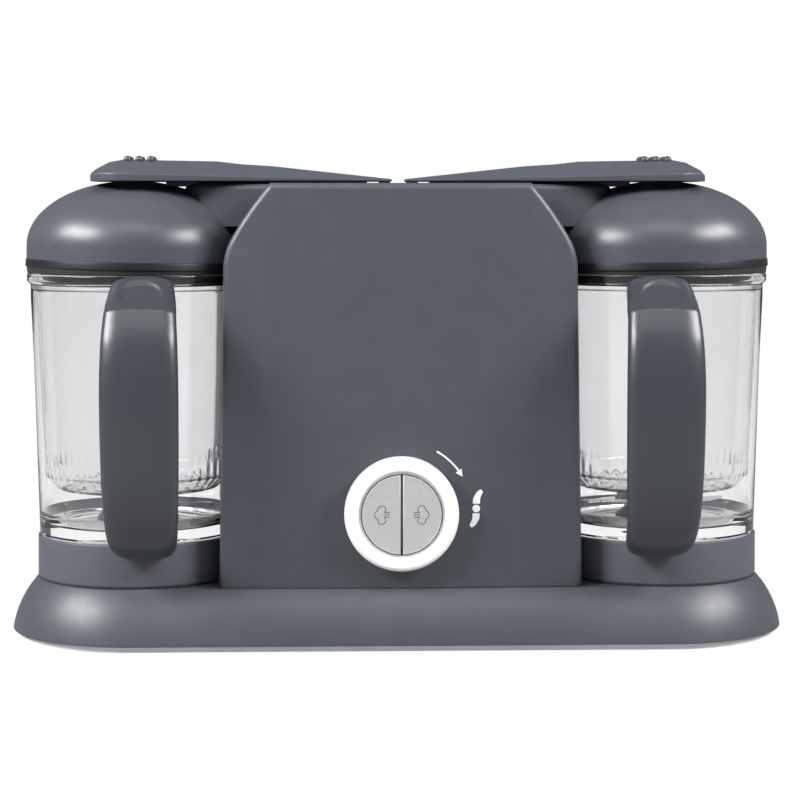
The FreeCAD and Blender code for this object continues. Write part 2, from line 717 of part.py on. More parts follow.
def bowl(word, side, bored):
    """Clear bowl with a thick floor, a ledge for the basket and a flanged rim."""
    wall = dim.bowl_wall
    under, over = dim.collar_top, dim.floor_z
    flange = dim.flange_r
    inside = dim.bowl_high_r - wall + 0.1
    profile = [
        (49.9, under), (dim.bowl_low_r, 60), (dim.bowl_low_r + 1.7, 140), (dim.bowl_high_r, 172),
        (dim.bowl_high_r, dim.flange_low), (flange, dim.flange_low + 1.8), (flange, dim.bowl_top),
        (52.7, dim.bowl_top), (52.7, dim.ledge_z), (inside, dim.ledge_z), (dim.bowl_low_r + 1.7 - wall, 140),
        (dim.bowl_low_r - wall, 62), (dim.bowl_low_r - wall - 4, over),
    ]
    if bored:
        centre = [(12, over), (12, over + 4.5), (5, over + 4.5), (5, under - 2), (12, under - 2), (12, under)]
    else:
        centre = [(0, over), (0, under)]
    clear = turned(f"bowl_{word}_turned", profile + centre, dim.bowl_x * side, dim.bowl_y)
    node(f"bowl_{word}", clear)


def collar(word, side):
    """Grey foot ring that the bowl stands in."""
    low, top = dim.seat_z + dim.seat_gap, dim.collar_top
    profile = [
        (dim.collar_r - 0.6, low), (dim.collar_r, low + 1), (dim.collar_r - 0.2, top), (16, top),
        (16, top - 2.5), (dim.collar_r - 3.4, top - 2.5), (dim.collar_r - 3.4, low),
    ]
    node(f"collar_{word}", turned(f"collar_{word}_turned", profile, dim.bowl_x * side, dim.bowl_y))


def basket(word, side):
    """Clear steam basket, hung in the bowl by its rim band, with holes through its floor."""
    low, top = dim.basket_floor, dim.basket_top
    low_r, high_r = dim.basket_low_r, dim.basket_high_r
    thick = 1.5
    profile = [
        (0, low), (low_r - 6, low), (low_r, low + 7),
        (high_r, dim.ledge_z - 1.5), (high_r, dim.ledge_z + 0.3),
        (52.3, dim.ledge_z + 0.3), (52.3, top), (high_r - 0.6, top), (high_r - thick, dim.ledge_z - 1.5),
        (low_r - thick, low + 7.6), (low_r - 6.6, low + thick + 0.2), (0, low + thick + 0.2),
    ]
    x, y = dim.bowl_x * side, dim.bowl_y
    plain = turned(f"basket_{word}_plain", profile, x, y)
    tools = []
    for ring, count in ((13, 6), (24, 12), (34, 18)):
        for place in range(count):
            angle = 2 * pi * place / count
            hole = f"basket_hole_{word}_{ring}_{place}"
            tools.append(cylinder(hole, 2, x + ring * cos(angle), y + ring * sin(angle), low - 5, low + 5))
    node(f"basket_{word}", cut(f"basket_{word}", plain, tools))


def blade_parts():
    """Blade on its shaft in the right-hand bowl, driven from below through a six-sided socket."""
    x, y = dim.bowl_x, dim.bowl_y
    shaft_r = dim.blade_shaft_r
    sleeve = cylinder("bowl_bush_outside", 5, x, y, 50, dim.floor_z + 4.5)
    bore = cylinder("bowl_bush_bore", shaft_r + dim.running, x, y, 40, 70)
    node("bowl_bush", cut("bowl_bush", sleeve, [bore]))
    cup = cylinder("socket_cup", 13, x, y, 33, 49.7)
    socket = hexagon("socket_hollow", 8.5, x, y, 30, 39)
    node("blade_coupling", cut("blade_coupling", cup, [socket]))
    shaft = cylinder("blade_shaft", shaft_r, x, y, 49.7, 65)
    node("blade_shaft", shaft)
    outside = cone("blade_hub_outside", 21.5, 13, x, y, dim.floor_z + 0.6, 66)
    inside = cylinder("blade_hub_inside", 12.6, x, y, 50, 63)
    way = cylinder("blade_hub_bore", shaft_r, x, y, 50, 65)
    node("blade_hub", cut("blade_hub", outside, [inside, way]))
    wing_corners = [(-3, -7), (12, -8), (27, -3), (36, 7), (26, 4), (12, 6), (-3, 7)]
    wing = [(dim.bowl_x + across, dim.bowl_y + along) for across, along in wing_corners]
    first = plate_xy("blade_wing", wing, 66, 67.5)
    far = DOC.addObject("Part::Feature", "blade_wing_far")
    DOC.recompute()
    far.Shape = first.Shape.copy()
    half_turn = Placement(Vector(), Rotation(Vector(0, 0, 1), 180), Vector(x.value, y.value, 0))
    far.Placement = half_turn * first.Placement
    fins = []
    for turn in (0, 180):
        fin = DOC.addObject("Part::Wedge", f"blade_fin_{turn}")
        fin.Xmin, fin.Xmax, fin.X2min, fin.X2max = 0, 12, 3, 9
        fin.Ymin, fin.Ymax = 0, 6
        fin.Zmin, fin.Zmax, fin.Z2min, fin.Z2max = 0, 1.4, 0, 1.4
        away = Rotation(Vector(0, 0, 1), turn)
        start = Vector(x.value, y.value, 66.5) + away.multVec(Vector(10, 1, 0))
        fin.Placement = Placement(start, away * Rotation(Vector(1, 0, 0), 90))
        fins.append(fin)
    node("blade", fuse("blade_all", [first, far] + fins))


def hub_cap():
    """Plain cap on the floor of the left-hand bowl, which has no blade."""
    x, y = -dim.bowl_x, dim.bowl_y
    cap = cone("hub_cap_cone", 21.5, 15, x, y, dim.floor_z, 66)
    node("hub_cap_left", rounded_edges("hub_cap_round", cap, 3, lambda edge: edge.BoundBox.ZMin > 65))


# ---------------------------------------------------------------- handles


def handle():
    """Handle: the outline seen from the side crossed with the outline seen from the front, edges rounded."""
    top, low = dim.handle_top, dim.handle_low
    wall_y = dim.bowl_y - 53
    side_view = [
        (wall_y - 1.2, 168), (wall_y - 1.2, top), (wall_y - 7, top), (-96, 169.5), (-104.5, 150, 60),
        (-107, 118, 160), (-104.5, 82, 160), (-92, 55, 60), (-78, low, 30), (wall_y + 2.6, low),
        (wall_y + 2.6, 60), (-80, 62), (-91.5, 76), (-94.5, 118), (-91.5, 150), (-82, 163),
    ]
    ribbon = plate_yz("handle_side_view", side_view, dim.handle_x - 22, dim.handle_x + 22)
    half = dim.handle_half
    middle = dim.handle_x
    right_edge = [
        (half - 4, low - 1), (half - 1, 64), (half, 110), (half, 140), (half - 1.4, 172), (half - 5, top + 1),
    ]
    front_view = [(middle + across, z) for across, z in right_edge]
    front_view += [(middle - across, z) for across, z in reversed(right_edge)]
    mask = plate_xz("handle_front_view", front_view, -110, -60)
    crossed = common("handle_crossed", ribbon, mask)
    bowl_side = cylinder("handle_bowl_side", dim.bowl_high_r, dim.bowl_x, dim.bowl_y, 52, dim.flange_low)
    rim_side = cylinder("handle_rim_side", dim.flange_r, dim.bowl_x, dim.bowl_y, dim.flange_low, 190)
    collar_side = cylinder("handle_collar_side", dim.collar_r, dim.bowl_x, dim.bowl_y, 30, 52)
    right = cut("handle_right", crossed, [bowl_side, rim_side, collar_side])
    node("handle_right", right)
    node("handle_left", mirrored("handle_left", right))


# ---------------------------------------------------------------- lids


def lid_frame():
    """The lid rests on its soft seal, a little higher on its outer side."""
    centre = Vector(dim.bowl_x.value, dim.bowl_y.value, dim.lid_low.value)
    drop = Vector(0, 0, -dim.lid_drop.value)
    return Placement(drop, Rotation(Vector(0, 1, 0), -dim.lid_tilt.value), centre)


def tilted(name, piece):
    """The same piece, set down with the rest of the lid."""
    whole = group(name, [piece])
    whole.Placement = lid_frame()
    return whole


def dome_solid(name, inset, low):
    """Upright rim and flattened dome above it."""
    x, y = dim.bowl_x, dim.bowl_y
    rim = cylinder(name + "_rim", dim.lid_r - inset, x, y, low, dim.dome_z)
    dome = DOC.addObject("Part::Ellipsoid", name + "_dome")
    bind(dome, "Radius1", dim.dome_rise - inset)
    bind(dome, "Radius2", dim.lid_r - inset)
    dome.Angle1 = 0
    dome.Angle2 = 90
    stand(dome, x, y, dim.dome_z)
    whole = fuse(name, [rim, dome])
    whole.Placement = lid_frame()
    return whole


def lid_parts():
    """Lid for the right-hand bowl and its mirror image for the left: dome, band, liner and seal."""
    x, y = dim.bowl_x, dim.bowl_y
    outside = dome_solid("lid_outside", 0, dim.band_top)
    inside = dome_solid("lid_inside", dim.lid_wall, dim.band_top - 2)
    lid = cut("lid_right", outside, [inside])
    low, top = dim.lid_low, dim.band_top
    step = low + 1.7
    inner = dim.lid_r - 1.1
    band_profile = [(inner, low), (dim.lid_r + 0.6, low), (dim.lid_r + 0.3, top), (inner, top)]
    band = turned("band_upright", band_profile, x, y)
    seal_profile = [(47, low - 0.9), (53.2, low - 0.9), (53.8, low - 0.1), (53.8, step), (47, step)]
    seal = turned("seal_upright", seal_profile, x, y)
    liner_profile = [
        (0, low - 2.5), (45, low - 2.5), (46.8, low - 0.7), (46.8, step), (53.8, step), (53.8, top), (0, top),
    ]
    disc = turned("lid_liner_plain", liner_profile, x, y)
    holes = []
    for place in range(8):
        angle = 2 * pi * place / 8
        holes.append(cylinder(f"steam_hole_{place}", 3, x + 22 * cos(angle), y + 22 * sin(angle), 180, 200))
    liner = cut("liner_upright", disc, holes)
    right = {"lid": lid, "lid_band": tilted("lid_band_right", band)}
    right["lid_seal"] = tilted("lid_seal_right", seal)
    right["lid_liner"] = tilted("lid_liner_right", liner)
    for word, piece in right.items():
        node(f"{word}_right", piece)
        node(f"{word}_left", mirrored(f"{word}_left", piece))
    return outside


def knuckle(name, front, back):
    """Hinge knuckle round the right-hand pin."""
    return cylinder_y(name, dim.knuckle_r, dim.hinge_x, dim.hinge_z, front, back)


def pin_way(name):
    return cylinder_y(name, dim.pin_r + 0.05, dim.hinge_x, dim.hinge_z, -60, 60)


def bridge(dome):
    """Hollow arm of the lid that reaches over the boiler to the hinge, cut to fit the dome."""
    low, top = dim.bridge_low, dim.bridge_top
    front, back = dim.bridge_front, dim.bridge_back
    wall = dim.wall
    block = box("bridge_block", (12, front, low), (108, back, top))
    block = rounded_edges(
        "bridge_rounded", block, 22, lambda edge: edge.BoundBox.ZLength > 5 and edge.BoundBox.XMin > 100
    )
    block = rounded_edges("bridge_softened", block, 3, lambda edge: edge.BoundBox.ZMin > top.value - 0.1)
    hollow = box("bridge_hollow", (14.2, front + wall, low - 1), (88, back - wall, top - wall))
    seat = cylinder("bridge_seal_seat", dim.cup_r + 2, dim.cup_x, dim.cup_y, low + 2.2, top - 1)
    solid = [cut("bridge_shell", block, [hollow]), seat]
    for end, near, far in (("front", -40, -31), ("back", 27, 36)):
        solid.append(knuckle(f"bridge_knuckle_{end}", near, far))
        solid.append(box(f"bridge_web_{end}", (dim.hinge_x, near, 224.5), (13, far, top)))
    solid.append(box("bridge_lever_rest", (16, -26, top - 1), (117, -4, 230.6)))
    way = pin_way("bridge_pin_way")
    right = cut("lid_bridge_right", fuse("bridge_solid", solid), [dome, way])
    node("lid_bridge_right", right)
    node("lid_bridge_left", mirrored("lid_bridge_left", right))
    inner_r, outer_r, seal_top = dim.cup_r - 3, dim.cup_r + 1.6, low + 2.2
    ring = [(inner_r, low), (outer_r, low), (outer_r, seal_top), (inner_r, seal_top)]
    gasket = turned("boiler_seal_turned", ring, dim.cup_x, dim.cup_y)
    node("boiler_seal_right", gasket)
    node("boiler_seal_left", mirrored("boiler_seal_left", gasket))


# ---------------------------------------------------------------- levers


def lever_section(x, half, low, edge, top):
    """Section across the lever: flat below, upright sides, and a crowned top."""
    front, back = dim.bowl_y.value - half, dim.bowl_y.value + half
    corners = [Vector(x, back, edge), Vector(x, back, low), Vector(x, front, low), Vector(x, front, edge)]
    crown = Part.Arc(corners[3], Vector(x, dim.bowl_y.value, top), corners[0]).toShape()
    sides = [Part.LineSegment(corners[place], corners[place + 1]).toShape() for place in range(3)]
    return Part.Wire(sides + [crown])


LEVER_STATIONS = [
    # X, half width, height of the edge, height of the middle
    (3.6, 16, 231.6, 232.1), (64, 22, 232.6, 238.6), (80, 26, 233.0, 239.6), (92, 30, 233.4, 241.0),
    (139.5, 34, 234.6, 241.8), (146, 31, 234.8, 240.6), (152, 25, 234.6, 237.4), (154.5, 15, 233.6, 235.7),
]


def lever():
    """Lever over the lid: a crowned shell with three grip ridges, knuckles and a catch under its tip."""
    low = 230.8
    wall = 1.9
    outer = [lever_section(x, half, low, edge, top) for x, half, edge, top in LEVER_STATIONS]
    body = DOC.addObject("Part::Feature", "lever_outside")
    body.Shape = Part.makeLoft(outer, True, True)
    inner = []
    for x, half, edge, top in LEVER_STATIONS[1:]:
        inner.append(lever_section(min(x, 152.6), half - wall, low - 1, edge - 1.2, top - wall))
    hollow = DOC.addObject("Part::Feature", "lever_hollow")
    hollow.Shape = Part.makeLoft(inner, True, True)
    solid = [cut("lever_shell", body, [hollow])]

    def at_ridge_end(edge):
        return edge.BoundBox.YLength < 0.1

    for count in range(3):
        x = 124.7 + 5.85 * count
        ridge = cylinder_y(f"lever_ridge_{count}", 1.9, x, 241.7, dim.bowl_y - 11, dim.bowl_y + 11)
        solid.append(rounded_edges(f"lever_ridge_round_{count}", ridge, 1.2, at_ridge_end))
    solid.append(box("lever_catch", (145, dim.bowl_y - 7, low), (151, dim.bowl_y + 7, 237.2)))
    for end, front, back in (("front", -30.7, -22), ("back", -7, 1)):
        solid.append(knuckle(f"lever_knuckle_{end}", front, back))
        near, far = dim.hinge_x - 2.5, dim.hinge_x + 2.5
        solid.append(box(f"lever_web_{end}", (near, front, 228.5), (far, back, 231.2)))
    below = box("lever_clearance", (-5, -60, 200), (3.6, 60, 240))
    right = cut("lever_right", fuse("lever_solid", solid), [pin_way("lever_pin_way"), below])
    node("lever_right", right)
    node("lever_left", mirrored("lever_left", right))


# ---------------------------------------------------------------- assembly


def cord_gland():
    """Rubber gland in the rear cover, where the mains lead would come out."""
    x, z, back = dim.gland_x, dim.gland_z, dim.rear_back
    neck = cylinder_y("gland_neck", dim.gland_r, x, z, back - 6, back + 1)
    lip = cylinder_y("gland_lip", dim.gland_r + 2.3, x, z, back, back + 3)
    inner_lip = cylinder_y("gland_inner_lip", dim.gland_r + 1.8, x, z, back - 7, back - dim.wall - 1)
    bore = cylinder_y("gland_bore", dim.gland_bore, x, z, back - 10, back + 10)
    return cut("cord_gland", fuse("gland_solid", [neck, lip, inner_lip]), [bore])


def build():
    node("base_shell", base_shell())
    node("base_tray", base_tray())
    node("rubber_feet", rubber_feet())
    node("tray_screws", tray_screws())
    node("front_cover", front_cover())
    node("side_panels", side_panels())
    node("rear_cover", rear_cover())
    node("deck", deck())
    node("hinge_pins", hinge_pins())
    node("cord_gland", cord_gland())
    node("control_board", control_board())
    node("switches", switches())
    node("button_carrier", button_carrier())
    node("knob_ring", knob_ring())
    node("knob_spring", knob_spring())
    steam_buttons()
    node("button_springs", button_springs())
    motor_parts()
    spindle_parts()
    for side, word in ((-1, "left"), (1, "right")):
        boiler(side, word)
        bowl(word, side, bored=side > 0)
        collar(word, side)
        basket(word, side)
    blade_parts()
    hub_cap()
    handle()
    bridge(lid_parts())
    lever()


def check_and_write():
    """Stops on any failed object, then writes one file for each sub-part."""
    DOC.recompute()
    failed = [thing.Name for thing in DOC.Objects if {"Invalid", "Error"} & set(thing.State)]
    if failed:
        raise SystemExit(f"failed objects: {failed}")
    os.makedirs("parts", exist_ok=True)
    for piece in NODES:
        shape = piece.Shape
        if shape.isNull() or not shape.isValid() or not shape.Solids:
            raise SystemExit(f"{piece.Label} has no valid solid")
        shape.exportStep(f"parts/{piece.Label}.step")
        extent = shape.BoundBox
        print(
            f"{piece.Label:22s} solids {len(shape.Solids):3d} volume {shape.Volume:10.0f}"
            f"  X {extent.XMin:7.1f} {extent.XMax:7.1f}  Y {extent.YMin:7.1f} {extent.YMax:7.1f}"
            f"  Z {extent.ZMin:6.1f} {extent.ZMax:6.1f}"
        )
    print(len(NODES), "sub-parts")


build()
check_and_write()
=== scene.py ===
"""Looks of the double-bowl baby food maker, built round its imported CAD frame.

Meshes are drawn in millimetres, in the frame's own axes, and scaled to metres as they are made.
The front faces -Y. Most of the paired pieces are drawn on the right and mirrored for the left.
"""

import json
from math import asin, atan2, cos, pi, radians, sin, sqrt, tan

import bmesh
import bpy
from mathutils import Matrix, Vector


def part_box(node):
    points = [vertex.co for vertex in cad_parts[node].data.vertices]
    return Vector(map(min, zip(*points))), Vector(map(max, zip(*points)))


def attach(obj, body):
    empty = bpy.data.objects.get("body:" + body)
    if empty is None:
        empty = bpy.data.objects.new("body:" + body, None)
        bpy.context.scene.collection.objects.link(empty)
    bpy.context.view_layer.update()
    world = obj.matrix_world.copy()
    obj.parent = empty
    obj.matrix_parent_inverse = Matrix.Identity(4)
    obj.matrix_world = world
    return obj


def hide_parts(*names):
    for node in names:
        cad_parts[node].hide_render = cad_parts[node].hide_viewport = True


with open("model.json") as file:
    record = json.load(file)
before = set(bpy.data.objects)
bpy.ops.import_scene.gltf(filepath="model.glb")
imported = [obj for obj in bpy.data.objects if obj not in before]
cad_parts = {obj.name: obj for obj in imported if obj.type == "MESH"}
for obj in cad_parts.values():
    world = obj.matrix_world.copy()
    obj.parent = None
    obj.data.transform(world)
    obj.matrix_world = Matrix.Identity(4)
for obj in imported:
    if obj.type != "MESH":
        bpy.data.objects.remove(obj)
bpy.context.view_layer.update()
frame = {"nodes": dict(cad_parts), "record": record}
MM = 0.001
TURN = 2 * pi


# ---------------------------------------------------------------- materials


# noise seldom leaves this range, so colour and gloss run from end to end of it
NOISE_LOW, NOISE_HIGH = 0.3, 0.7


class Finish:
    """A node material: one Principled shader fed by noise in object coordinates."""

    def __init__(self, name, **constants):
        self.material = bpy.data.materials.new(name)
        self.material.use_nodes = True
        self.tree = self.material.node_tree
        self.shader = self.tree.nodes["Principled BSDF"]
        for socket, value in constants.items():
            self.shader.inputs[socket.replace("_", " ")].default_value = value
        self.place = self.tree.nodes.new("ShaderNodeTexCoord").outputs["Object"]

    def noise(self, size, detail=2.0, stretch=(1, 1, 1)):
        """Noise with features about size millimetres across."""
        mapping = self.tree.nodes.new("ShaderNodeMapping")
        mapping.inputs["Scale"].default_value = stretch
        self.tree.links.new(self.place, mapping.inputs["Vector"])
        noise = self.tree.nodes.new("ShaderNodeTexNoise")
        noise.inputs["Scale"].default_value = 1 / (size * MM)
        noise.inputs["Detail"].default_value = detail
        self.tree.links.new(mapping.outputs["Vector"], noise.inputs["Vector"])
        return noise.outputs["Fac"]

    def colour(self, source, dark, light):
        """Base colour that runs from dark to light with a noise."""
        ramp = self.tree.nodes.new("ShaderNodeValToRGB")
        for stop, position, shown in zip(ramp.color_ramp.elements, (NOISE_LOW, NOISE_HIGH), (dark, light)):
            stop.position = position
            stop.color = (*shown, 1)
        self.tree.links.new(source, ramp.inputs["Fac"])
        self.tree.links.new(ramp.outputs["Color"], self.shader.inputs["Base Color"])

    def roughness(self, source, low, high):
        """Roughness that runs from low to high with a noise."""
        spread = self.tree.nodes.new("ShaderNodeMapRange")
        spread.inputs["From Min"].default_value = NOISE_LOW
        spread.inputs["From Max"].default_value = NOISE_HIGH
        spread.inputs["To Min"].default_value = low
        spread.inputs["To Max"].default_value = high
        self.tree.links.new(source, spread.inputs["Value"])
        self.tree.links.new(spread.outputs["Result"], self.shader.inputs["Roughness"])

    def bump(self, source, depth):
        """Surface relief of depth millimetres."""
        bump = self.tree.nodes.new("ShaderNodeBump")
        bump.inputs["Strength"].default_value = 1.0
        bump.inputs["Distance"].default_value = depth * MM
        self.tree.links.new(source, bump.inputs["Height"])
        self.tree.links.new(bump.outputs["Normal"], self.shader.inputs["Normal"])


def linear(red, green, blue):
    """Scene colour of an 8-bit screen colour."""
    return tuple((channel / 255) ** 2.2 for channel in (red, green, blue))


def shade(colour, factor):
    """A colour made darker or lighter."""
    return tuple(channel * factor for channel in colour)


def moulded(name, colour, rough, grain=0.45, depth=0.012, mottle=0.05):
    """Moulded plastic: fine spark-eroded grain, faint flow mottling and uneven gloss."""
    flow_size, gloss_size, gloss_spread = 9, 3, 0.03
    finish = Finish(name)
    if mottle:
        finish.colour(finish.noise(flow_size, 4), shade(colour, 1 - mottle), shade(colour, 1 + mottle))
    else:
        finish.shader.inputs["Base Color"].default_value = (*colour, 1)
    finish.roughness(finish.noise(gloss_size, 3), rough - gloss_spread, rough + gloss_spread)
    if depth:
        finish.bump(finish.noise(grain, 2), depth)
    return finish.material


def slate(name, brightness, rough, **texture):
    """The casing's grey-blue plastic."""
    return moulded(name, shade(linear(80, 84, 92), brightness), rough, **texture)


def clear(name, tint, rough, waviness):
    """Clear moulded plastic with a slight waviness and a little haze."""
    tint_size, haze_size, wave_size, haze_spread = 25, 6, 14, 0.02
    finish = Finish(name, Transmission_Weight=1.0, IOR=1.45)
    finish.colour(finish.noise(tint_size, 2), shade(tint, 0.985), tint)
    finish.roughness(finish.noise(haze_size, 2), rough, rough + haze_spread)
    finish.bump(finish.noise(wave_size, 1), waviness)
    return finish.material


def brushed(name, colour, rough, stretch=(1, 1, 1), depth=0.004):
    """Metal with a fine grain, which stretch draws out along one direction."""
    grain_size, gloss_size = 0.5, 2
    finish = Finish(name, Metallic=1.0)
    grain = finish.noise(grain_size, 3, stretch)
    finish.colour(grain, shade(colour, 0.93), shade(colour, 1.05))
    finish.roughness(finish.noise(gloss_size, 3, stretch), rough - 0.04, rough + 0.05)
    finish.bump(grain, depth)
    return finish.material


SLATE = slate("slate_satin", 0.72, 0.42, depth=0.014)
LID_SLATE = slate("slate_lid", 0.72, 0.36, depth=0.014)
# the handles are the casing's slate plastic, painted darker than the rest: painted shade that stands in for
# the dark middle of their glossy faces
HANDLE_SLATE_PAINTED_SHADE = slate("slate_handle_painted_shade", 0.45, 0.32, depth=0, mottle=0)
PRINT_WHITE = moulded("print_white", linear(240, 240, 240), 0.4, depth=0.002, mottle=0.01)
FOOT_PALE = moulded("foot_pale", linear(232, 233, 235), 0.5, depth=0.004)
PRINT_GREY = moulded("print_grey", linear(112, 112, 114), 0.45, depth=0.002)
CLEAR_BASKET = clear("clear_basket", (0.962, 0.963, 0.967), 0.03, 0.02)
SLOTS = {
    "slate_plastic": SLATE,
    "dark_plastic": moulded("dark_satin", linear(18, 20, 22), 0.45),
    "collar_plastic": moulded("collar_satin", linear(78, 80, 88), 0.5),
    "tray_plastic": moulded("tray_pale", linear(236, 237, 240), 0.4),
    "clear_plastic": clear("clear_bowl", (0.955, 0.956, 0.96), 0.0, 0.02),
    "white_plastic": moulded("white_gloss", linear(246, 246, 244), 0.16, depth=0.002, mottle=0.01),
    "silver_buttons": brushed("silver_satin", linear(226, 226, 228), 0.5),
    "black_rubber": moulded("rubber_black", linear(34, 34, 36), 0.68, depth=0.03),
    "steel": brushed("steel_drawn", linear(200, 200, 203), 0.24, (1, 1, 0.05)),
    "grey_nylon": moulded("nylon_grey", linear(150, 150, 146), 0.5),
    "hub_plastic": moulded("hub_dark", linear(52, 54, 58), 0.34),
    "motor_metal": brushed("motor_can", linear(150, 150, 152), 0.4, (1, 1, 0.08)),
    "bronze": brushed("bronze_sintered", linear(176, 124, 72), 0.45),
    "heater_metal": brushed("heater_cast", linear(140, 138, 134), 0.55),
    "board_green": moulded("board_lacquer", linear(38, 92, 58), 0.3, grain=1.2, depth=0.01),
    "switch_black": moulded("switch_case", linear(30, 30, 32), 0.4),
}
SLOT_OF = {row["node"]: row["material_slot"] for row in frame["record"]["subparts"]}


def dress_frame():
    """Gives every CAD node the material of its slot."""
    for name, node in frame["nodes"].items():
        node.data.materials.clear()
        node.data.materials.append(SLOTS[SLOT_OF[name]])


# ---------------------------------------------------------------- mesh tools


def span(node):
    """Lowest and highest corner of a CAD node at rest, in millimetres."""
    low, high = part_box(node)
    return low / MM, high / MM


def rounded(corners, steps=6):
    """Closed outline through flat corners. A corner's third number is the radius it is rounded with."""
    outline = []
    for place, corner in enumerate(corners):
        spot = Vector(corner[:2])
        if len(corner) == 2:
            outline.append(spot)
            continue
        back = Vector(corners[place - 1][:2]) - spot
        ahead = Vector(corners[(place + 1) % len(corners)][:2]) - spot
        half = back.angle(ahead) / 2
        reach = min(corner[2] / tan(half), 0.49 * min(back.length, ahead.length))
        radius = reach * tan(half)
        centre = spot + (back.normalized() + ahead.normalized()).normalized() * (radius / sin(half))
        start = (spot + back.normalized() * reach - centre).normalized()
        end = (spot + ahead.normalized() * reach - centre).normalized()
        for step in range(steps + 1):
            outline.append(centre + start.slerp(end, step / steps) * radius)
    return outline


def bow(start, end, radius, steps=24):
    """Points along an arc from start to end, bulging to the left of the way there."""
    start, end = Vector(start), Vector(end)
    half = (end - start) / 2
    aside = Vector((half.y, -half.x)).normalized() * sqrt(radius**2 - half.length_squared)
    centre = (start + end) / 2 + aside
    first, last = (start - centre).normalized(), (end - centre).normalized()
    return [centre + first.slerp(last, step / steps) * radius for step in range(steps + 1)]


def smooth_line(points, steps=8):
    """Points along a Catmull-Rom curve through the given points, which may have any length."""
    line = []
    last = len(points) - 1
    for place in range(last):
        before, here = points[max(place - 1, 0)], points[place]
        there, after = points[place + 1], points[min(place + 2, last)]
        for step in range(steps):
            t = step / steps
            spot = []
            for a, b, c, d in zip(before, here, there, after):
                bend = 2 * a - 5 * b + 4 * c - d
                spot.append(b + t * (c - a + t * (bend + t * (3 * (b - c) + d - a))) / 2)
            line.append(spot)
    line.append(list(points[-1]))
    return line


def bridge_rings(bm, near, far):
    """Faces between two rings of vertices; a ring of one vertex is a point."""
    count = max(len(near), len(far))
    if count == 1:
        return
    for place in range(count):
        after = (place + 1) % count
        corners = [near[place % len(near)], near[after % len(near)]]
        corners += [far[after % len(far)], far[place % len(far)]]
        bm.faces.new(list(dict.fromkeys(corners)))


def loft(sections):
    """Skin over closed sections of equal length, capped at both ends."""
    bm = bmesh.new()
    rings = [[bm.verts.new(spot) for spot in section] for section in sections]
    for near, far in zip(rings, rings[1:]):
        bridge_rings(bm, near, far)
    bm.faces.new(rings[0])
    bm.faces.new(rings[-1])
    return bm


def lathe(profile, x=0.0, y=0.0, steps=160):
    """Closed surface turned about an upright axis from (radius, height) points."""
    bm = bmesh.new()
    rings = []
    for radius, z in profile:
        if radius < 1e-6:
            rings.append([bm.verts.new((x, y, z))])
            continue
        angles = [TURN * turn / steps for turn in range(steps)]
        rings.append([bm.verts.new((x + radius * cos(a), y + radius * sin(a), z)) for a in angles])
    for near, far in zip(rings, rings[1:] + rings[:1]):
        bridge_rings(bm, near, far)
    return bm


def facing_lathe(profile, z, steps=160):
    """Closed surface turned about an axis along Y, from (radius, Y) points."""
    bm = lathe([(radius, -y) for radius, y in profile], steps=steps)
    bmesh.ops.transform(bm, matrix=Matrix.Rotation(pi / 2, 4, "X"), verts=bm.verts)
    bmesh.ops.translate(bm, vec=(0, 0, z), verts=bm.verts)
    return bm


def facing_rod(radius, front_y, back_y, z, steps=32):
    """Cylinder along Y."""
    return facing_lathe([(0, front_y), (radius, front_y), (radius, back_y), (0, back_y)], z, steps)


def rod(radius, x, y, low, high, steps=96):
    """Upright cylinder, used for cutting."""
    return lathe([(0, low), (radius, low), (radius, high), (0, high)], x, y, steps)


def block(low, high):
    """Box between two corners."""
    bm = bmesh.new()
    bmesh.ops.create_cube(bm, size=1)
    low, high = Vector(low), Vector(high)
    bmesh.ops.scale(bm, vec=high - low, verts=bm.verts)
    bmesh.ops.translate(bm, vec=(low + high) / 2, verts=bm.verts)
    return bm


def join(*meshes):
    """One mesh that holds several."""
    whole = bmesh.new()
    for bm in meshes:
        spare = bpy.data.meshes.new("spare")
        bm.to_mesh(spare)
        bm.free()
        whole.from_mesh(spare)
        bpy.data.meshes.remove(spare)
    return whole


def as_object(bm):
    """A passing object that holds a mesh, for the boolean tool."""
    bmesh.ops.recalc_face_normals(bm, faces=bm.faces)
    mesh = bpy.data.meshes.new("work")
    bm.to_mesh(mesh)
    bm.free()
    obj = bpy.data.objects.new("work", mesh)
    bpy.context.scene.collection.objects.link(obj)
    return obj


def cut_by(bm, tools):
    """The mesh less each of the tools."""
    body = as_object(bm)
    helpers = [as_object(tool) for tool in tools]
    for helper in helpers:
        cut = body.modifiers.new("cut", "BOOLEAN")
        cut.operation = "DIFFERENCE"
        cut.solver = "EXACT"
        cut.object = helper
    graph = bpy.context.evaluated_depsgraph_get()
    result = bmesh.new()
    result.from_mesh(body.evaluated_get(graph).data)
    for obj in [body] + helpers:
        mesh = obj.data
        bpy.data.objects.remove(obj)
        bpy.data.meshes.remove(mesh)
    return result


def piece(name, bm, finish, body, replaces=(), crease=38):
    """Makes a finished piece from a mesh in millimetres. Edges sharper than crease degrees stay sharp."""
    bmesh.ops.remove_doubles(bm, verts=bm.verts, dist=0.0005)
    bmesh.ops.recalc_face_normals(bm, faces=bm.faces)
    bmesh.ops.scale(bm, vec=(MM, MM, MM), verts=bm.verts)
    for face in bm.faces:
        face.smooth = True
    for edge in bm.edges:
        if len(edge.link_faces) == 2:
            edge.smooth = edge.calc_face_angle(0) < radians(crease)
    mesh = bpy.data.meshes.new(name)
    bm.to_mesh(mesh)
    bm.free()
    mesh.materials.append(finish)
    obj = bpy.data.objects.new(name, mesh)
    bpy.context.scene.collection.objects.link(obj)
    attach(obj, body)
    if replaces:
        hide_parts(*replaces)


def on_side(bm, side):
    """A right-hand mesh as it is, or its mirror image for the left."""
    if side < 0:
        bmesh.ops.scale(bm, vec=(-1, 1, 1), verts=bm.verts)
        bmesh.ops.reverse_faces(bm, faces=bm.faces)
    return bm


# ---------------------------------------------------------------- places, read from the frame

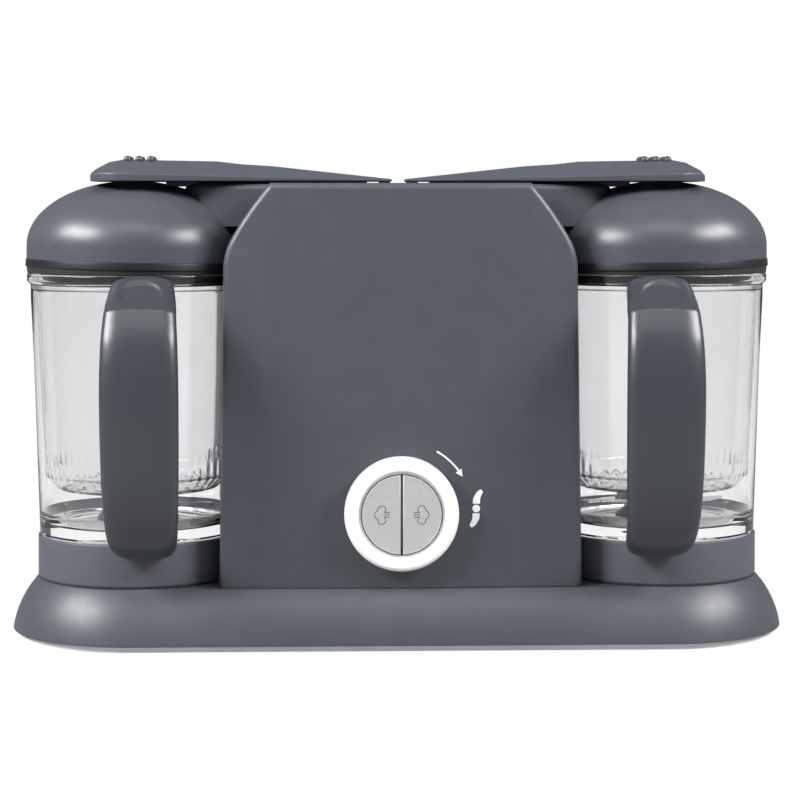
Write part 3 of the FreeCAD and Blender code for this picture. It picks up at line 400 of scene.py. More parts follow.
BOWL_LOW, BOWL_HIGH = span("bowl_right")
BOWL_X = (BOWL_LOW.x + BOWL_HIGH.x) / 2
BOWL_Y = (BOWL_LOW.y + BOWL_HIGH.y) / 2
RIM_R = BOWL_HIGH.x - BOWL_X
COLLAR_LOW, COLLAR_HIGH = span("collar_right")
BOWL_FOOT, BOWL_TOP = COLLAR_HIGH.z, BOWL_HIGH.z
BASE_LOW, BASE_HIGH = span("base_shell")
BASE_R = BASE_HIGH.x - BOWL_X
BASE_TOP = COLLAR_LOW.z - 0.3
COVER_LOW, COVER_HIGH = span("front_cover")
KNOB_LOW, KNOB_HIGH = span("knob_ring")
KNOB_R = KNOB_HIGH.x
KNOB_Z = KNOB_LOW.z + KNOB_R
BUTTON_LOW, BUTTON_HIGH = span("steam_button_right")
BUTTON_R = BUTTON_HIGH.x
BUTTON_FRONT = BUTTON_LOW.y
BASKET_LOW, BASKET_HIGH = span("basket_right")
HANDLE_LOW, HANDLE_HIGH = span("handle_right")
HANDLE_X = (HANDLE_LOW.x + HANDLE_HIGH.x) / 2
PIN_R = 1.5
PIN_LOW, PIN_HIGH = span("hinge_pins")
PIN_X, PIN_Z = PIN_HIGH.x - PIN_R, (PIN_LOW.z + PIN_HIGH.z) / 2

# ---------------------------------------------------------------- base


def plan_ring(radius, z, steps=20):
    """Points round the base's plan: a rounded rectangle."""
    back = BASE_HIGH.y - BASE_R
    ring = []
    for quarter, (x, y) in enumerate(((BOWL_X, back), (-BOWL_X, back), (-BOWL_X, BOWL_Y), (BOWL_X, BOWL_Y))):
        for step in range(steps + 1):
            angle = (quarter + step / steps) * pi / 2
            ring.append(Vector((x + radius * cos(angle), y + radius * sin(angle), z)))
    return ring


def base():
    """Skirted base shell: a bowed flank that tucks in at its lower edge, hollow from below."""
    top_r, bow_r, wall = 51.0, 48.5, 3.0
    low, top = BASE_LOW.z, BASE_TOP
    flank = bow((top_r, top), (BASE_R, low), bow_r)
    shoulder = [(top_r - 14, top), (*flank[0], 1.6), tuple(flank[1])]
    hem = [tuple(flank[-2]), (BASE_R, low, 0.5), (BASE_R - wall, low, 0.4), (BASE_R - wall - 1, low + wall)]
    profile = rounded(shoulder)[:-1] + flank[1:-1] + rounded(hem)[1:-1]
    profile += [Vector((r - wall, z - wall * 0.4)) for r, z in reversed(flank[:-2])]
    shell = loft([plan_ring(r, z) for r, z in profile])
    drive_bore = rod(8.0, BOWL_X, BOWL_Y, low + 8, top + 4)
    piece("base_skirt", cut_by(shell, [drive_bore]), SLATE, "stand", ["base_shell"])


# ---------------------------------------------------------------- tower front

BULGE_R = 1620.0
# how much further in each side is at the shoulder than at the foot
HEAD_TAPER = 3
# each shoulder is a tight arc, then a slack one that runs into it, up to the flat crown
TIGHT_R, TIGHT_Z = 31.3, 187.3
SLACK_R, SLACK_FROM = 157.0, radians(29.3)
# how far from the knob's axis its peg lies
PEG_WAY_R = 24.7


def bulge(x):
    """How far back the bulged face lies at x, measured from its middle."""
    return x * x / (2 * BULGE_R)


def tower_ring(inset, y, low, bulged=True, steps=12):
    """Outline of the tower seen from the front, in by some millimetres, with its face's slight bulge."""
    top = COVER_HIGH.z - inset
    tight_x = COVER_HIGH.x - HEAD_TAPER - TIGHT_R
    slack_x = tight_x - (SLACK_R - TIGHT_R) * cos(SLACK_FROM)
    slack_z = TIGHT_Z - (SLACK_R - TIGHT_R) * sin(SLACK_FROM)
    slack_to = asin((top - slack_z) / (SLACK_R - inset))
    right = [(COVER_HIGH.x - inset, low)]
    for step in range(steps + 1):
        angle = SLACK_FROM * step / steps
        right.append((tight_x + (TIGHT_R - inset) * cos(angle), TIGHT_Z + (TIGHT_R - inset) * sin(angle)))
    for step in range(1, steps + 1):
        angle = SLACK_FROM + (slack_to - SLACK_FROM) * step / steps
        right.append((slack_x + (SLACK_R - inset) * cos(angle), slack_z + (SLACK_R - inset) * sin(angle)))
    flat = right + [(-x, z) for x, z in reversed(right)]
    return [Vector((x, y + (bulge(x) if bulged else 0), z)) for x, z in flat]


def bow_face(solid, front_y):
    """Divides a block's front face into upright strips and lays their edges on the bulge."""
    strips = [next(face for face in solid.faces if len(face.verts) > 4)]
    for x in range(-80, 81, 10):
        geometry = list(strips)
        for part in strips:
            geometry += list(part.edges) + list(part.verts)
        geometry = list(dict.fromkeys(geometry))
        cut = bmesh.ops.bisect_plane(solid, geom=geometry, plane_co=(x, 0, 0), plane_no=(1, 0, 0))
        strips = [part for part in cut["geom"] if isinstance(part, bmesh.types.BMFace)]
        for vert in (part for part in cut["geom_cut"] if isinstance(part, bmesh.types.BMVert)):
            vert.co.y = front_y + bulge(vert.co.x)


def tower_solid(inset, front_y, back_y, low, edge=0.0, bulged=False):
    """Block with the tower's outline. Its front edge may be rounded, and its face bulged."""
    steps = 7
    rings = []
    for step in range(steps if edge else 0, 0, -1):
        angle = pi / 2 * step / steps
        rounding = edge * (1 - cos(angle))
        rings.append(tower_ring(inset + rounding, front_y + edge * (1 - sin(angle)), low, bulged))
    rings.append(tower_ring(inset, front_y + edge, low, bulged))
    rings.append(tower_ring(inset, back_y, low, False))
    solid = loft(rings)
    if bulged:
        bow_face(solid, front_y)
    return solid


def peg_way(front_y, back_y):
    """Curved slot that the knob's peg moves along, from the top round to the right."""
    half, start, sweep, steps = 1.9, 98, 56, 24
    near, far = PEG_WAY_R - half, PEG_WAY_R + half
    sections = []
    for step in range(steps + 1):
        angle = radians(start - sweep * step / steps)
        ring = []
        for radius, y in ((near, front_y), (far, front_y), (far, back_y), (near, back_y)):
            ring.append(Vector((radius * cos(angle), y, KNOB_Z + radius * sin(angle))))
        sections.append(ring)
    return loft(sections)


def front():
    """Front cover: a softly bulged panel with rounded edges, hollow behind, holed for the knob."""
    face, back, low, wall, edge = COVER_LOW.y, COVER_HIGH.y, COVER_LOW.z, 2.8, 3.0
    opening_half, opening_low, opening_top, knob_hole_r = 78, 20, 204.4, 21.22
    panel = tower_solid(0, face, back, low, edge=edge, bulged=True)
    hollow = tower_solid(wall, face + 5.5, back - wall, low - 5)
    opening = block((-opening_half, back - wall - 1, opening_low), (opening_half, back + 1, opening_top))
    knob_hole = facing_rod(knob_hole_r, face - 8, face + 12, KNOB_Z, steps=128)
    cover = cut_by(panel, [hollow, opening, knob_hole, peg_way(face - 4, face + 12)])
    piece("front_panel", cover, SLATE, "stand", ["front_cover"], crease=32)


# ---------------------------------------------------------------- knob, buttons and printed marks

# how deep the foot of a raised mark sits in its face
SUNK = 0.2


def raised_stroke(points, width, front_y, proud):
    """Flat raised line along (x, z) points, standing proud of a face."""
    points = [Vector(point) for point in points]
    last = len(points) - 1
    sections = []
    for place, spot in enumerate(points):
        before, after = points[max(place - 1, 0)], points[min(place + 1, last)]
        along = (after - before).normalized()
        aside = Vector((-along.y, along.x)) * width / 2
        low, high = spot - aside, spot + aside
        ring = [(low.x, front_y + SUNK, low.y), (high.x, front_y + SUNK, high.y)]
        ring += [(high.x, front_y - proud, high.y), (low.x, front_y - proud, low.y)]
        sections.append([Vector(corner) for corner in ring])
    return loft(sections)


def raised_shape(outline, front_y, proud):
    """Flat raised shape from an (x, z) outline."""
    near = [Vector((x, front_y - proud, z)) for x, z in outline]
    far = [Vector((x, front_y + SUNK, z)) for x, z in outline]
    return loft([near, far])


def arc_points(centre_x, centre_z, radius, start, end, steps=24):
    """Points along an arc from start to end degrees."""
    spots = []
    for step in range(steps + 1):
        angle = radians(start + (end - start) * step / steps)
        spots.append((centre_x + radius * cos(angle), centre_z + radius * sin(angle)))
    return spots


def knob():
    """Glossy ring that turns round the buttons, with the peg that reaches through the panel."""
    hole, front_y, back_y = 21.2, KNOB_LOW.y, KNOB_LOW.y + 9.0
    peg_r, peg_front, peg_back = 1.5, -67, -56.5
    profile = rounded([
        (hole, front_y + 0.5, 0.3), (hole + 0.7, front_y, 0.6), (KNOB_R, front_y, 2.6),
        (KNOB_R, back_y, 0.4), (hole, back_y, 0.2),
    ], steps=10)
    ring = facing_lathe(profile, KNOB_Z, steps=192)
    peg = facing_rod(peg_r, peg_front, peg_back, KNOB_Z + PEG_WAY_R)
    piece("knob_ring_white", join(ring, peg), SLOTS["white_plastic"], "knob", ["knob_ring"])


def steam_mark(side, front_y):
    """Outlined cloud with three puffs, drawn on a steam button."""
    middle, width, proud = 9.8 * side, 0.5, 0.09
    # each lobe's arc: start and end in degrees, centre across and up, radius
    lobes = ((-50, 195, 0, 2.7, 1.9), (106, 254, -1.2, 0, 2.3), (165, 410, 0, -2.7, 1.9))
    lines = [arc_points(across, up, radius, start, end) for start, end, across, up, radius in lobes]
    for up in (-1.15, 0, 1.15):
        puff = [(1.0, up * 0.8), (2.0, up + 0.12), (3.0, up - 0.05), (3.9, up * 1.1)]
        lines.append(smooth_line(puff, 4))
    strokes = []
    for line in lines:
        placed = [(middle - side * across, KNOB_Z + up) for across, up in line]
        strokes.append(raised_stroke(placed, width, front_y, proud))
    return join(*strokes)


def button_ring(inset, y, steps=48):
    """Half-round outline of the right-hand button, in by some millimetres."""
    radius, flat = BUTTON_R - inset, BUTTON_LOW.x + inset
    reach = pi / 2 - asin(flat / radius)
    spots = []
    for step in range(steps + 1):
        angle = -reach + 2 * reach * step / steps
        spots.append(Vector((radius * cos(angle), y, KNOB_Z + radius * sin(angle))))
    return spots


def steam_button(side, word):
    """Half-round satin button with a small edge radius, its stem and its outlined steam mark."""
    edge, back_y, steps = 0.7, -66.0, 6
    stem_x, stem_r, stem_back = 9, 1.8, -57.8
    rings = []
    for step in range(steps, -1, -1):
        angle = pi / 2 * step / steps
        rings.append(button_ring(edge * (1 - cos(angle)), BUTTON_FRONT + edge * (1 - sin(angle))))
    rings.append(button_ring(0, back_y))
    stem = facing_rod(stem_r, back_y, stem_back, KNOB_Z)
    bmesh.ops.translate(stem, vec=(stem_x, 0, 0), verts=stem.verts)
    button = on_side(join(loft(rings), stem), side)
    body = f"steam_button_{word}"
    piece(f"button_{word}_satin", button, SLOTS["silver_buttons"], body, [body])
    piece(f"button_{word}_mark", steam_mark(side, BUTTON_FRONT), PRINT_GREY, body)


def arrow(proud):
    """Curved arrow round the knob's upper right: a stroke and its three-cornered head."""
    radius, width, start, end = 35, 0.85, 60, 35.5
    tip, root, half = radians(30.6), radians(36.2), 1.75
    shaft = raised_stroke(arc_points(0, KNOB_Z, radius, start, end), width, COVER_LOW.y, proud)
    head = []
    for reach, angle in ((radius, tip), (radius - half, root), (radius + half, root)):
        head.append((reach * cos(angle), KNOB_Z + reach * sin(angle)))
    return [shaft, raised_shape(head, COVER_LOW.y, proud)]


def blade_sign(proud):
    """Two wings about a hub, the second wing turned half round from the first."""
    centre_x, centre_z, hub_r = 37.0, KNOB_Z + 1.9, 1.9
    wing = rounded([
        (-1.75, 2.4), (-1.55, 5.0, 3), (0.2, 8.2, 5), (2.2, 9.6, 0.5), (3.3, 8.3, 0.6), (1.9, 5.2, 5),
        (1.85, 2.4),
    ])
    shapes = []
    for turn in (1, -1):
        outline = [(centre_x + x * turn, centre_z + z * turn) for x, z in wing]
        shapes.append(raised_shape(outline, COVER_LOW.y, proud))
    shapes.append(raised_shape(arc_points(centre_x, centre_z, hub_r, 0, 345, 23), COVER_LOW.y, proud))
    return shapes


def printed_marks():
    """White arrow and blade sign beside the knob, laid on the panel's bulge."""
    proud = 0.1
    marks = join(*arrow(proud), *blade_sign(proud))
    for vert in marks.verts:
        vert.co.y += bulge(vert.co.x)
    piece("printed_marks", marks, PRINT_WHITE, "stand")


# ---------------------------------------------------------------- bowls and baskets


# where the bowl's inner ledge carries the basket's rim
LEDGE_Z = 176.8


def bowl(side, word):
    """Clear bowl with a thick floor and a flanged rim. Only the right-hand floor is holed for the drive."""
    foot, top, floor = BOWL_FOOT, BOWL_TOP, 57.5
    outside = [
        (38.5, foot + 0.9, 0.3), (40, foot + 0.15, 0.3), (49.9, foot + 0.15, 0.9), (50.1, 60), (51.8, 140),
        (53.0, 172), (53.0, 179, 0.8), (RIM_R, 180.8, 0.7), (RIM_R, top, 0.8),
    ]
    inside = [
        (52.7, top, 0.6), (52.7, LEDGE_Z, 0.2), (51.3, LEDGE_Z, 0.5), (50.0, 140), (48.3, 63, 3.5),
        (40.0, floor, 9),
    ]
    if side > 0:
        middle = [
            (12, floor, 0.3), (12, floor + 4.5, 0.4), (5, floor + 4.5), (5, foot - 2), (12, foot - 2),
            (12, foot + 0.9),
        ]
    else:
        middle = [(0, floor), (0, foot + 0.9)]
    body = f"bowl_{word}"
    clear_bowl = lathe(rounded(outside + inside + middle), BOWL_X * side, BOWL_Y)
    piece(f"{body}_clear", clear_bowl, SLOTS["clear_plastic"], body, [body])


def foot_plate(side, word):
    """Pale plate that shows through a bowl's clear floor."""
    inner, outer, low, high = 16.5, 49.3, BOWL_FOOT - 0.3, BOWL_FOOT + 0.05
    plate = lathe([(inner, low), (outer, low), (outer, high), (inner, high)], BOWL_X * side, BOWL_Y)
    piece(f"bowl_{word}_foot_plate", plate, FOOT_PALE, f"bowl_{word}")


def collar(side, word):
    """Grey foot ring that a bowl stands in."""
    low, top = COLLAR_LOW.z, COLLAR_HIGH.z
    outer, inner, wall, web = 51.0, 16, 3.4, 2.5
    ring = rounded([
        (outer - 0.6, low, 0.2), (outer, low + 1.2, 0.8), (outer - 0.2, top, 0.7), (inner, top, 0.4),
        (inner, top - web), (outer - wall, top - web), (outer - wall, low, 0.2),
    ])
    foot_ring = lathe(ring, BOWL_X * side, BOWL_Y)
    finish = SLOTS["collar_plastic"]
    piece(f"collar_{word}_ring", foot_ring, finish, f"bowl_{word}", [f"collar_{word}"])


def relief(bm, low):
    """Presses shallow upright flutes into the foot of a basket's wall, and slim ribs above them."""
    inner_r, lean = 46.2, 0.038
    foot, fade_in, fade_out, flutes, depth = 5, 2, 4, 54, 0.2
    head_height, head_wave, waves = 15, 2.5, 6
    rib_foot, rib_half, rib_depth = 40, 0.014, 0.22
    for vert in bm.verts:
        height = vert.co.z - low
        radius = sqrt(vert.co.x**2 + vert.co.y**2)
        on_wall = radius >= inner_r + height * lean
        if height < foot or vert.co.z > LEDGE_Z - 2 or not on_wall:
            continue
        angle = atan2(vert.co.x, -vert.co.y)
        head = head_height + head_wave * cos(waves * angle)
        fade = max(0.0, min(1.0, (height - foot) / fade_in, (head - height) / fade_out))
        swell = depth * fade * cos(flutes * angle)
        for rib in (-43, 30, 64, 168, 192):
            off = abs((angle - radians(rib) + pi) % TURN - pi)
            if off < rib_half and height > rib_foot:
                swell += rib_depth * (1 + cos(pi * off / rib_half)) / 2
        vert.co.x *= 1 + swell / radius
        vert.co.y *= 1 + swell / radius


def basket_profile(low, top):
    """Half section of a basket: floor, tapering wall, and a rim band that hangs on the bowl's ledge."""
    low_r, high_r, rim_r, thick = 46.8, 50.6, 52.3, 1.5
    flank = []
    for height in [*range(8, 22), 30, 38, 40, 42]:
        share = (height - 7) / (LEDGE_Z - 8.5 - low)
        flank.append((low_r + (high_r - low_r) * share, low + height))
    floor = low + thick + 0.2
    outside = [(0, low), (low_r - 6, low, 3), (low_r, low + 7, 5), *flank, (high_r, LEDGE_Z - 1.5, 0.3)]
    rim = [
        (high_r, LEDGE_Z + 0.3, 0.2), (rim_r, LEDGE_Z + 0.3, 0.3), (rim_r, top, 0.6),
        (high_r - 0.6, top, 0.5),
    ]
    inside = [
        (high_r - thick, LEDGE_Z - 1.5, 0.5), (low_r - thick, low + 7.6, 4), (low_r - 6.6, floor, 3),
        (0, floor),
    ]
    return rounded(outside + rim + inside)


def basket(side, word):
    """Clear steam basket: rim band, tapering wall with ribs and a fluted foot, and a holed floor."""
    low, top, hole_r = BASKET_LOW.z, BASKET_HIGH.z, 2
    wall = lathe(basket_profile(low, top), steps=432)
    relief(wall, low)
    holes = []
    for ring, count in ((13, 6), (24, 12), (34, 18)):
        for place in range(count):
            angle = TURN * place / count
            holes.append(rod(hole_r, ring * cos(angle), ring * sin(angle), low - 3, low + 5, steps=20))
    shell = cut_by(wall, [join(*holes)])
    bmesh.ops.translate(shell, vec=(BOWL_X, BOWL_Y, 0), verts=shell.verts)
    body = f"basket_{word}"
    piece(f"{body}_clear", on_side(shell, side), CLEAR_BASKET, body, [body])


def blade_hub():
    """Moulded hub that carries the blade, in the right-hand bowl."""
    low, high = span("blade_hub")
    foot_r, bore_r, sleeve_r = 21.5, 3.05, 12.8
    profile = rounded([
        (sleeve_r, low.z), (foot_r, low.z, 0.5), (20.2, low.z + 1.8, 0.6), (13.4, high.z, 1.2),
        (bore_r, high.z), (bore_r, high.z - 3), (sleeve_r, high.z - 3.2),
    ])
    hub = lathe(profile, BOWL_X, BOWL_Y)
    piece("blade_hub_moulding", hub, SLOTS["hub_plastic"], "blade", ["blade_hub"])


def hub_cap():
    """Plain cap in the middle of the left-hand bowl's floor."""
    low, high = span("hub_cap_left")
    profile = rounded([(0, low.z), (21.5, low.z, 0.5), (20.0, low.z + 3, 1.0), (15, high.z, 3), (0, high.z)])
    cap = lathe(profile, -BOWL_X, BOWL_Y)
    piece("hub_cap_moulding", cap, SLOTS["hub_plastic"], "bowl_left", ["hub_cap_left"])


# ---------------------------------------------------------------- lids


LID_R = 55.0
BAND_LOW, BAND_TOP = 188.5, 192.4


def set_down(bm):
    """Lays a right-hand lid's mesh as the lid rests on its soft seal, its outer side a little higher."""
    tilt, drop = radians(-1.2), 1.35
    centre = Vector((BOWL_X, BOWL_Y, BAND_LOW))
    place = Matrix.Translation(centre - Vector((0, 0, drop))) @ Matrix.Rotation(tilt, 4, "Y")
    bmesh.ops.transform(bm, matrix=place @ Matrix.Translation(-centre), verts=bm.verts)
    return bm


def lid_dome(side, word):
    """Domed lid: an upright rim, then a flattened dome, hollow below."""
    wall, dome_z, rise, steps = 2.5, 199.2, 33.3, 40
    rim = [
        (LID_R - wall, BAND_TOP - 2), (LID_R - 1.0, BAND_TOP - 2, 0.2), (LID_R, BAND_TOP + 0.1, 0.4),
        (LID_R, dome_z),
    ]
    profile = rounded(rim)[:-1]
    for step in range(steps + 1):
        angle = pi / 2 * step / steps
        profile.append(Vector((LID_R * cos(angle), dome_z + rise * sin(angle))))
    for step in range(steps, -1, -1):
        angle = pi / 2 * step / steps
        profile.append(Vector(((LID_R - wall) * cos(angle), dome_z + (rise - wall) * sin(angle))))
    dome = set_down(lathe(profile, BOWL_X, BOWL_Y, steps=192))
    body = f"lid_{word}"
    piece(f"{body}_dome", on_side(dome, side), LID_SLATE, body, [body])


def lid_band(side, word):
    """Dark band below the dome."""
    inner = LID_R - 1.1
    profile = rounded([
        (inner, BAND_LOW), (LID_R + 0.6, BAND_LOW, 0.5), (LID_R + 0.3, BAND_TOP, 0.4), (inner, BAND_TOP),
    ])
    band = on_side(set_down(lathe(profile, BOWL_X, BOWL_Y, steps=192)), side)
    body = f"lid_{word}"
    piece(f"{body}_lower_band", band, SLOTS["dark_plastic"], body, [f"lid_band_{word}"])


def lid_seal(side, word):
    """Soft seal: a skirt that hangs into the bowl, and a lip that closes the gap above its rim."""
    body, rubber = f"lid_{word}", SLOTS["black_rubber"]
    skirt_low, skirt_top, skirt_r = BAND_LOW - 7.2, BAND_LOW - 1, 46.9
    profile = rounded([
        (skirt_r, skirt_low, 0.3), (47.5, skirt_low, 0.3), (48.5, skirt_top, 0.1), (skirt_r, skirt_top),
    ])
    skirt = on_side(set_down(lathe(profile, BOWL_X, BOWL_Y)), side)
    piece(f"{body}_seal_skirt", skirt, rubber, body)
    lip_low, lip_top, lip_r = BOWL_TOP + 0.25, BAND_LOW - 0.4, 52.7
    profile = rounded([(lip_r, lip_low), (54.6, lip_low, 0.4), (54.9, lip_top), (lip_r, lip_top)])
    lip = on_side(lathe(profile, BOWL_X, BOWL_Y), side)
    piece(f"{body}_seal_lip", lip, rubber, body)


# ---------------------------------------------------------------- levers

# height of the lever's flat underside
LEVER_Z = 230.8
# along the lever: X, half width, height of the edge, height of the middle
LEVER_STATIONS = [
    (3.6, 16, 231.6, 232.1), (64, 22, 232.6, 238.6), (80, 26, 233.0, 239.6), (92, 30, 233.4, 241.0),
    (139.5, 34, 234.6, 241.8), (146, 31, 234.8, 240.6), (152, 25, 234.6, 237.4), (154.5, 15, 233.6, 235.7),
]


def lever_ring(x, half, low, edge, top, radius):
    """Section across the lever: flat below, upright rounded sides and a crowned top."""
    steps = 16
    outline = [(-half, low, radius * 0.5), (-half, edge, radius)]
    for step in range(1, steps):
        across = -1 + 2 * step / steps
        outline.append((half * across * 0.985, edge + (top - edge) * (1 - across * across)))
    outline += [(half, edge, radius), (half, low, radius * 0.5)]
    return [Vector((x, BOWL_Y + y, z)) for y, z in rounded(outline, 4)]


def capsule(x, z, radius, half):
    """Rounded grip ridge lying across the lever."""
    steps = 24
    rings = []
    for step in range(1, steps):
        angle = pi * step / steps
        end_y = BOWL_Y - radius * cos(angle)
        y = end_y + (radius - half if angle < pi / 2 else half - radius)
        reach = radius * sin(angle)
        turns = [TURN * place / steps for place in range(steps)]
        rings.append([Vector((x + reach * cos(turn), y, z + reach * sin(turn))) for turn in turns])
    return loft(rings)


def lever_catch():
    """Block under the lever's tip that holds it to the lid."""
    near_x, far_x, half, top = 145, 151, 7, 237.2
    catch = block((near_x, BOWL_Y - half, LEVER_Z), (far_x, BOWL_Y + half, top))
    bmesh.ops.bevel(catch, geom=catch.edges[:], offset=0.6, segments=3, affect="EDGES")
    return catch


def lever_rib():
    """Stiffening rib along the lever's hollow."""
    half, low = 2, LEVER_Z + 0.05
    sections = []
    for x, top in ((66, 237.4), (121, 240.2)):
        ring = ((-half, low), (half, low), (half, top), (-half, top))
        sections.append([Vector((x, BOWL_Y + across, z)) for across, z in ring])
    return loft(sections)


def lever_knuckles():
    """Two knuckles that turn on the hinge pin, each with the web that joins it to the lever."""
    bore_r, outer_r, web_half, web_low, web_top = PIN_R + 0.05, 3.2, 2.5, 230.2, 231.2
    parts = []
    for front_y, back_y in ((-30.7, -22), (-7, 1)):
        tube = [(bore_r, front_y), (outer_r, front_y), (outer_r, back_y), (bore_r, back_y)]
        knuckle = facing_lathe(tube, PIN_Z, steps=48)
        bmesh.ops.translate(knuckle, vec=(PIN_X, 0, 0), verts=knuckle.verts)
        parts += [knuckle, block((PIN_X - web_half, front_y, web_low), (PIN_X + web_half, back_y, web_top))]
    return parts


def lever(side, word):
    """Lever over a lid: crowned shell with upright sides, three grip ridges, knuckles and a catch."""
    wall, edge, hollow_from, hollow_to = 1.9, 0.7, 60, 152.6
    ridge_x, ridge_pitch, ridge_z, ridge_r, ridge_half = 124.7, 5.85, 241.7, 1.9, 11
    outer, inner = [], []
    for x, half, edge_z, top in LEVER_STATIONS:
        outer.append(lever_ring(x, half, LEVER_Z, edge_z, top, edge))
        if x > hollow_from:
            inside_x = min(x, hollow_to)
            inner.append(lever_ring(inside_x, half - wall, LEVER_Z - 2, edge_z - 1.2, top - wall, edge))
    parts = [cut_by(loft(outer), [loft(inner)])]
    for count in range(3):
        parts.append(capsule(ridge_x + ridge_pitch * count, ridge_z, ridge_r, ridge_half))
    parts += [lever_catch(), lever_rib(), *lever_knuckles()]
    body = f"lever_{word}"
    piece(f"{body}_cover", on_side(join(*parts), side), LID_SLATE, body, [body], crease=30)


# ---------------------------------------------------------------- handles

# from foot to facet: outer side's Y and Z, inner side's Y and Z, half width
HANDLE_STATIONS = [
    (-58, 46.6, -58, 59.6, 13.6), (-68, 46.6, -66, 59.8, 14.4), (-79, 47.4, -75, 60.8, 15.4),
    (-88, 51.4, -82.5, 64.2, 16.6), (-95.4, 58.6, -87.4, 69.2, 17.4), (-101.2, 69.5, -91.0, 77.0, 17.9),
    (-105.2, 88, -93.4, 91, 18.4), (-107, 112, -94.4, 112, 18.7), (-106.6, 134, -94.0, 134, 18.7),
    (-103.2, 154, -90.8, 150.5, 18.2), (-96.4, 169.4, -85.0, 160.6, 17.4),
]
FACET_STATIONS = [
    (-96.0, 170.0, -84.6, 161.0, 17.35), (-89.0, 175.0, -80.2, 164.6, 17.0),
    (-82.2, 179.7, -76.0, 167.0, 16.4), (-75.6, 183.9, -72.4, 168.0, 15.6), (-70, 184.4, -68, 168.2, 15.0),
    (-60, 184.4, -60, 168.2, 14.6),
]
# the facet's lower and upper edge, in Y and Z
FACET_LOW, FACET_HIGH = Vector((-96.0, 170.0)), Vector((-75.6, 183.9))


def handle_ring(outer_y, outer_z, inner_y, inner_z, half, steps=96):
    """Section across the handle: a crowned outer face and a flatter inner one, with full round sides."""
    crowned, flatter = 2 / 3.0, 2 / 3.6
    inner_spot, outer_spot = Vector((0, inner_y, inner_z)), Vector((0, outer_y, outer_z))
    middle, reach = (inner_spot + outer_spot) / 2, (outer_spot - inner_spot) / 2
    ring = []
    for step in range(steps):
        angle = TURN * step / steps
        across, out = cos(angle), sin(angle)
        power = crowned if out > 0 else flatter
        u = abs(across) ** power * (1 if across > 0 else -1)
        v = abs(out) ** power * (1 if out > 0 else -1)
        ring.append(middle + reach * v + Vector((HANDLE_X + half * u, 0, 0)))
    return ring


def press_thumb_rest(ear):
    """Presses a shallow oval dish into the middle of the handle's facet."""
    half_across, half_along, depth = 10.8, 10.4, 1.7
    along = (FACET_HIGH - FACET_LOW).normalized()
    outward = Vector((-along.y, along.x))
    middle = (FACET_LOW + FACET_HIGH) / 2
    for vert in ear.verts:
        flat = Vector((vert.co.y, vert.co.z)) - middle
        lengthwise, above = flat.dot(along), flat.dot(outward)
        spread = ((vert.co.x - HANDLE_X) / half_across) ** 2 + (lengthwise / half_along) ** 2
        if spread < 1 and above > -5:
            dip = depth * min(1.0, (1 - spread) * 2.6) ** 0.7
            vert.co.y -= outward.x * dip
            vert.co.z -= outward.y * dip


def handle(side, word):
    """Curved ear handle with a slanted facet at its top, dished for the thumb, fitted round the bowl."""
    gap = 0.03
    stations = smooth_line(HANDLE_STATIONS, 9) + smooth_line(FACET_STATIONS, 9)
    ear = loft([handle_ring(*station) for station in stations])
    press_thumb_rest(ear)
    room = []
    for radius, low, high in ((53.0, 51.9, 179.6), (RIM_R, 179.0, 200), (51.0, 20, 52)):
        room.append(rod(radius + gap, BOWL_X, BOWL_Y, low, high, steps=240))
    grip = on_side(cut_by(ear, room), side)
    body, node = f"bowl_{word}", f"handle_{word}"
    piece(f"{node}_grip", grip, HANDLE_SLATE_PAINTED_SHADE, body, [node], crease=45)


# ---------------------------------------------------------------- stage, light and camera


def looked_at(tree):
    """One for what the camera sees, straight or through clear plastic, and nought for what only lights."""
    rays = tree.nodes.new("ShaderNodeLightPath")
    seen = tree.nodes.new("ShaderNodeMath")
    seen.operation = "MAXIMUM"
    tree.links.new(rays.outputs["Is Camera Ray"], seen.inputs[0])
    tree.links.new(rays.outputs["Is Transmission Ray"], seen.inputs[1])
    return seen.outputs["Value"]


def stage():
    """Floor that the machine stands on: white to the eye, and duller in what it throws back."""
    dull, half_size = (0.3, 0.3, 0.3, 1), 6
    bm = bmesh.new()
    bmesh.ops.create_grid(bm, x_segments=8, y_segments=8, size=half_size)
    mesh = bpy.data.meshes.new("floor")
    bm.to_mesh(mesh)
    bm.free()
    floor = bpy.data.objects.new("floor", mesh)
    bpy.context.scene.collection.objects.link(floor)
    paper = Finish("floor_paper", Base_Color=dull, Roughness=0.8)
    white = paper.tree.nodes.new("ShaderNodeEmission")
    white.inputs["Color"].default_value = (1, 1, 1, 1)
    mix = paper.tree.nodes.new("ShaderNodeMixShader")
    paper.tree.links.new(looked_at(paper.tree), mix.inputs["Fac"])
    paper.tree.links.new(paper.shader.outputs["BSDF"], mix.inputs[1])
    paper.tree.links.new(white.outputs["Emission"], mix.inputs[2])
    paper.tree.links.new(mix.outputs["Shader"], paper.tree.nodes["Material Output"].inputs["Surface"])
    mesh.materials.append(paper.material)


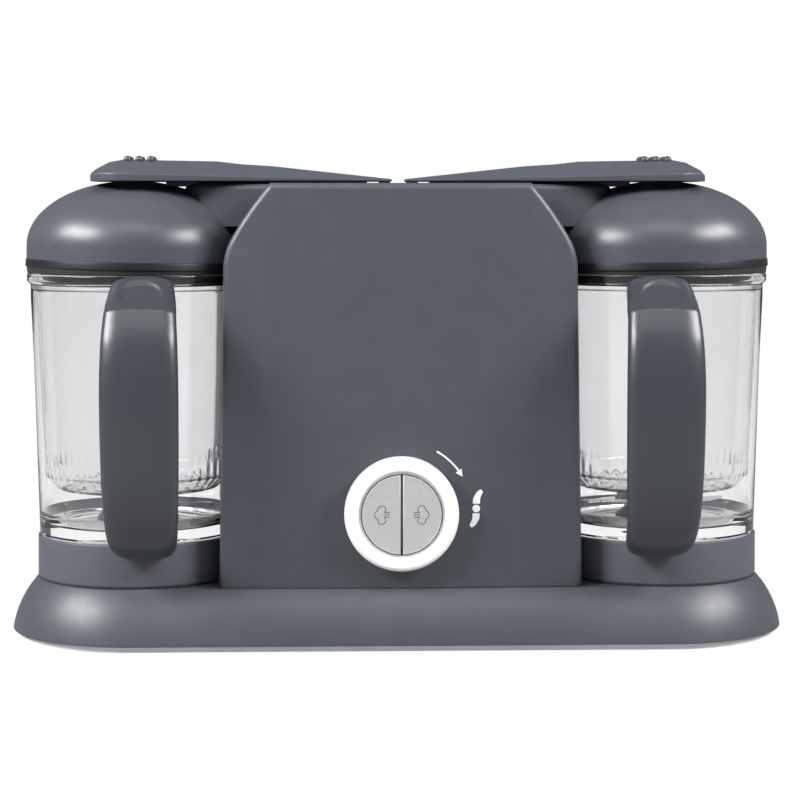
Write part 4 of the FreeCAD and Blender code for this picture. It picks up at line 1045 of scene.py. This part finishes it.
def softbox(name, spot, aim, size, power):
    """Rectangular soft light at spot, turned to aim."""
    lamp = bpy.data.lights.new(name, "AREA")
    lamp.shape = "RECTANGLE"
    lamp.size, lamp.size_y = size
    lamp.energy = power
    holder = bpy.data.objects.new(name, lamp)
    bpy.context.scene.collection.objects.link(holder)
    holder.location = spot
    holder.rotation_euler = (Vector(aim) - Vector(spot)).to_track_quat("-Z", "Y").to_euler()


def light():
    """White backdrop, dimmer surroundings, a softbox at each side and a wide one high above the front."""
    dim, bright = 0.2, 1.0
    world = bpy.data.worlds.new("studio")
    bpy.context.scene.world = world
    world.use_nodes = True
    tree = world.node_tree
    background = tree.nodes["Background"]
    background.inputs["Color"].default_value = (1, 1, 1, 1)
    strength = tree.nodes.new("ShaderNodeMapRange")
    strength.inputs["To Min"].default_value = dim
    strength.inputs["To Max"].default_value = bright
    tree.links.new(looked_at(tree), strength.inputs["Value"])
    tree.links.new(strength.outputs["Result"], background.inputs["Strength"])
    aim = (0, -0.01, 0.14)
    softbox("side_left", (-1.2, -0.55, 1.0), aim, (0.95, 0.5), 42)
    softbox("side_right", (1.2, -0.55, 1.0), aim, (0.95, 0.5), 34)
    softbox("front_high", (0, -1.2, 1.9), aim, (1.4, 0.5), 10)


def camera():
    """Camera a little above the lids and slightly left of the middle."""
    lens = bpy.data.cameras.new("view")
    lens.lens = 100.8
    lens.clip_start = 0.05
    holder = bpy.data.objects.new("view", lens)
    bpy.context.scene.collection.objects.link(holder)
    holder.location = (-0.036, -1.160, 0.219)
    target = Vector((0.001, -0.015, 0.1192))
    holder.rotation_euler = (target - holder.location).to_track_quat("-Z", "Y").to_euler()
    bpy.context.scene.camera = holder


dress_frame()
base()
front()
knob()
printed_marks()
for side, word in ((1, "right"), (-1, "left")):
    steam_button(side, word)
    bowl(side, word)
    foot_plate(side, word)
    collar(side, word)
    basket(side, word)
    lid_dome(side, word)
    lid_band(side, word)
    lid_seal(side, word)
    lever(side, word)
    handle(side, word)
blade_hub()
hub_cap()
stage()
light()
camera()
bpy.context.scene.view_settings.view_transform = "Standard"
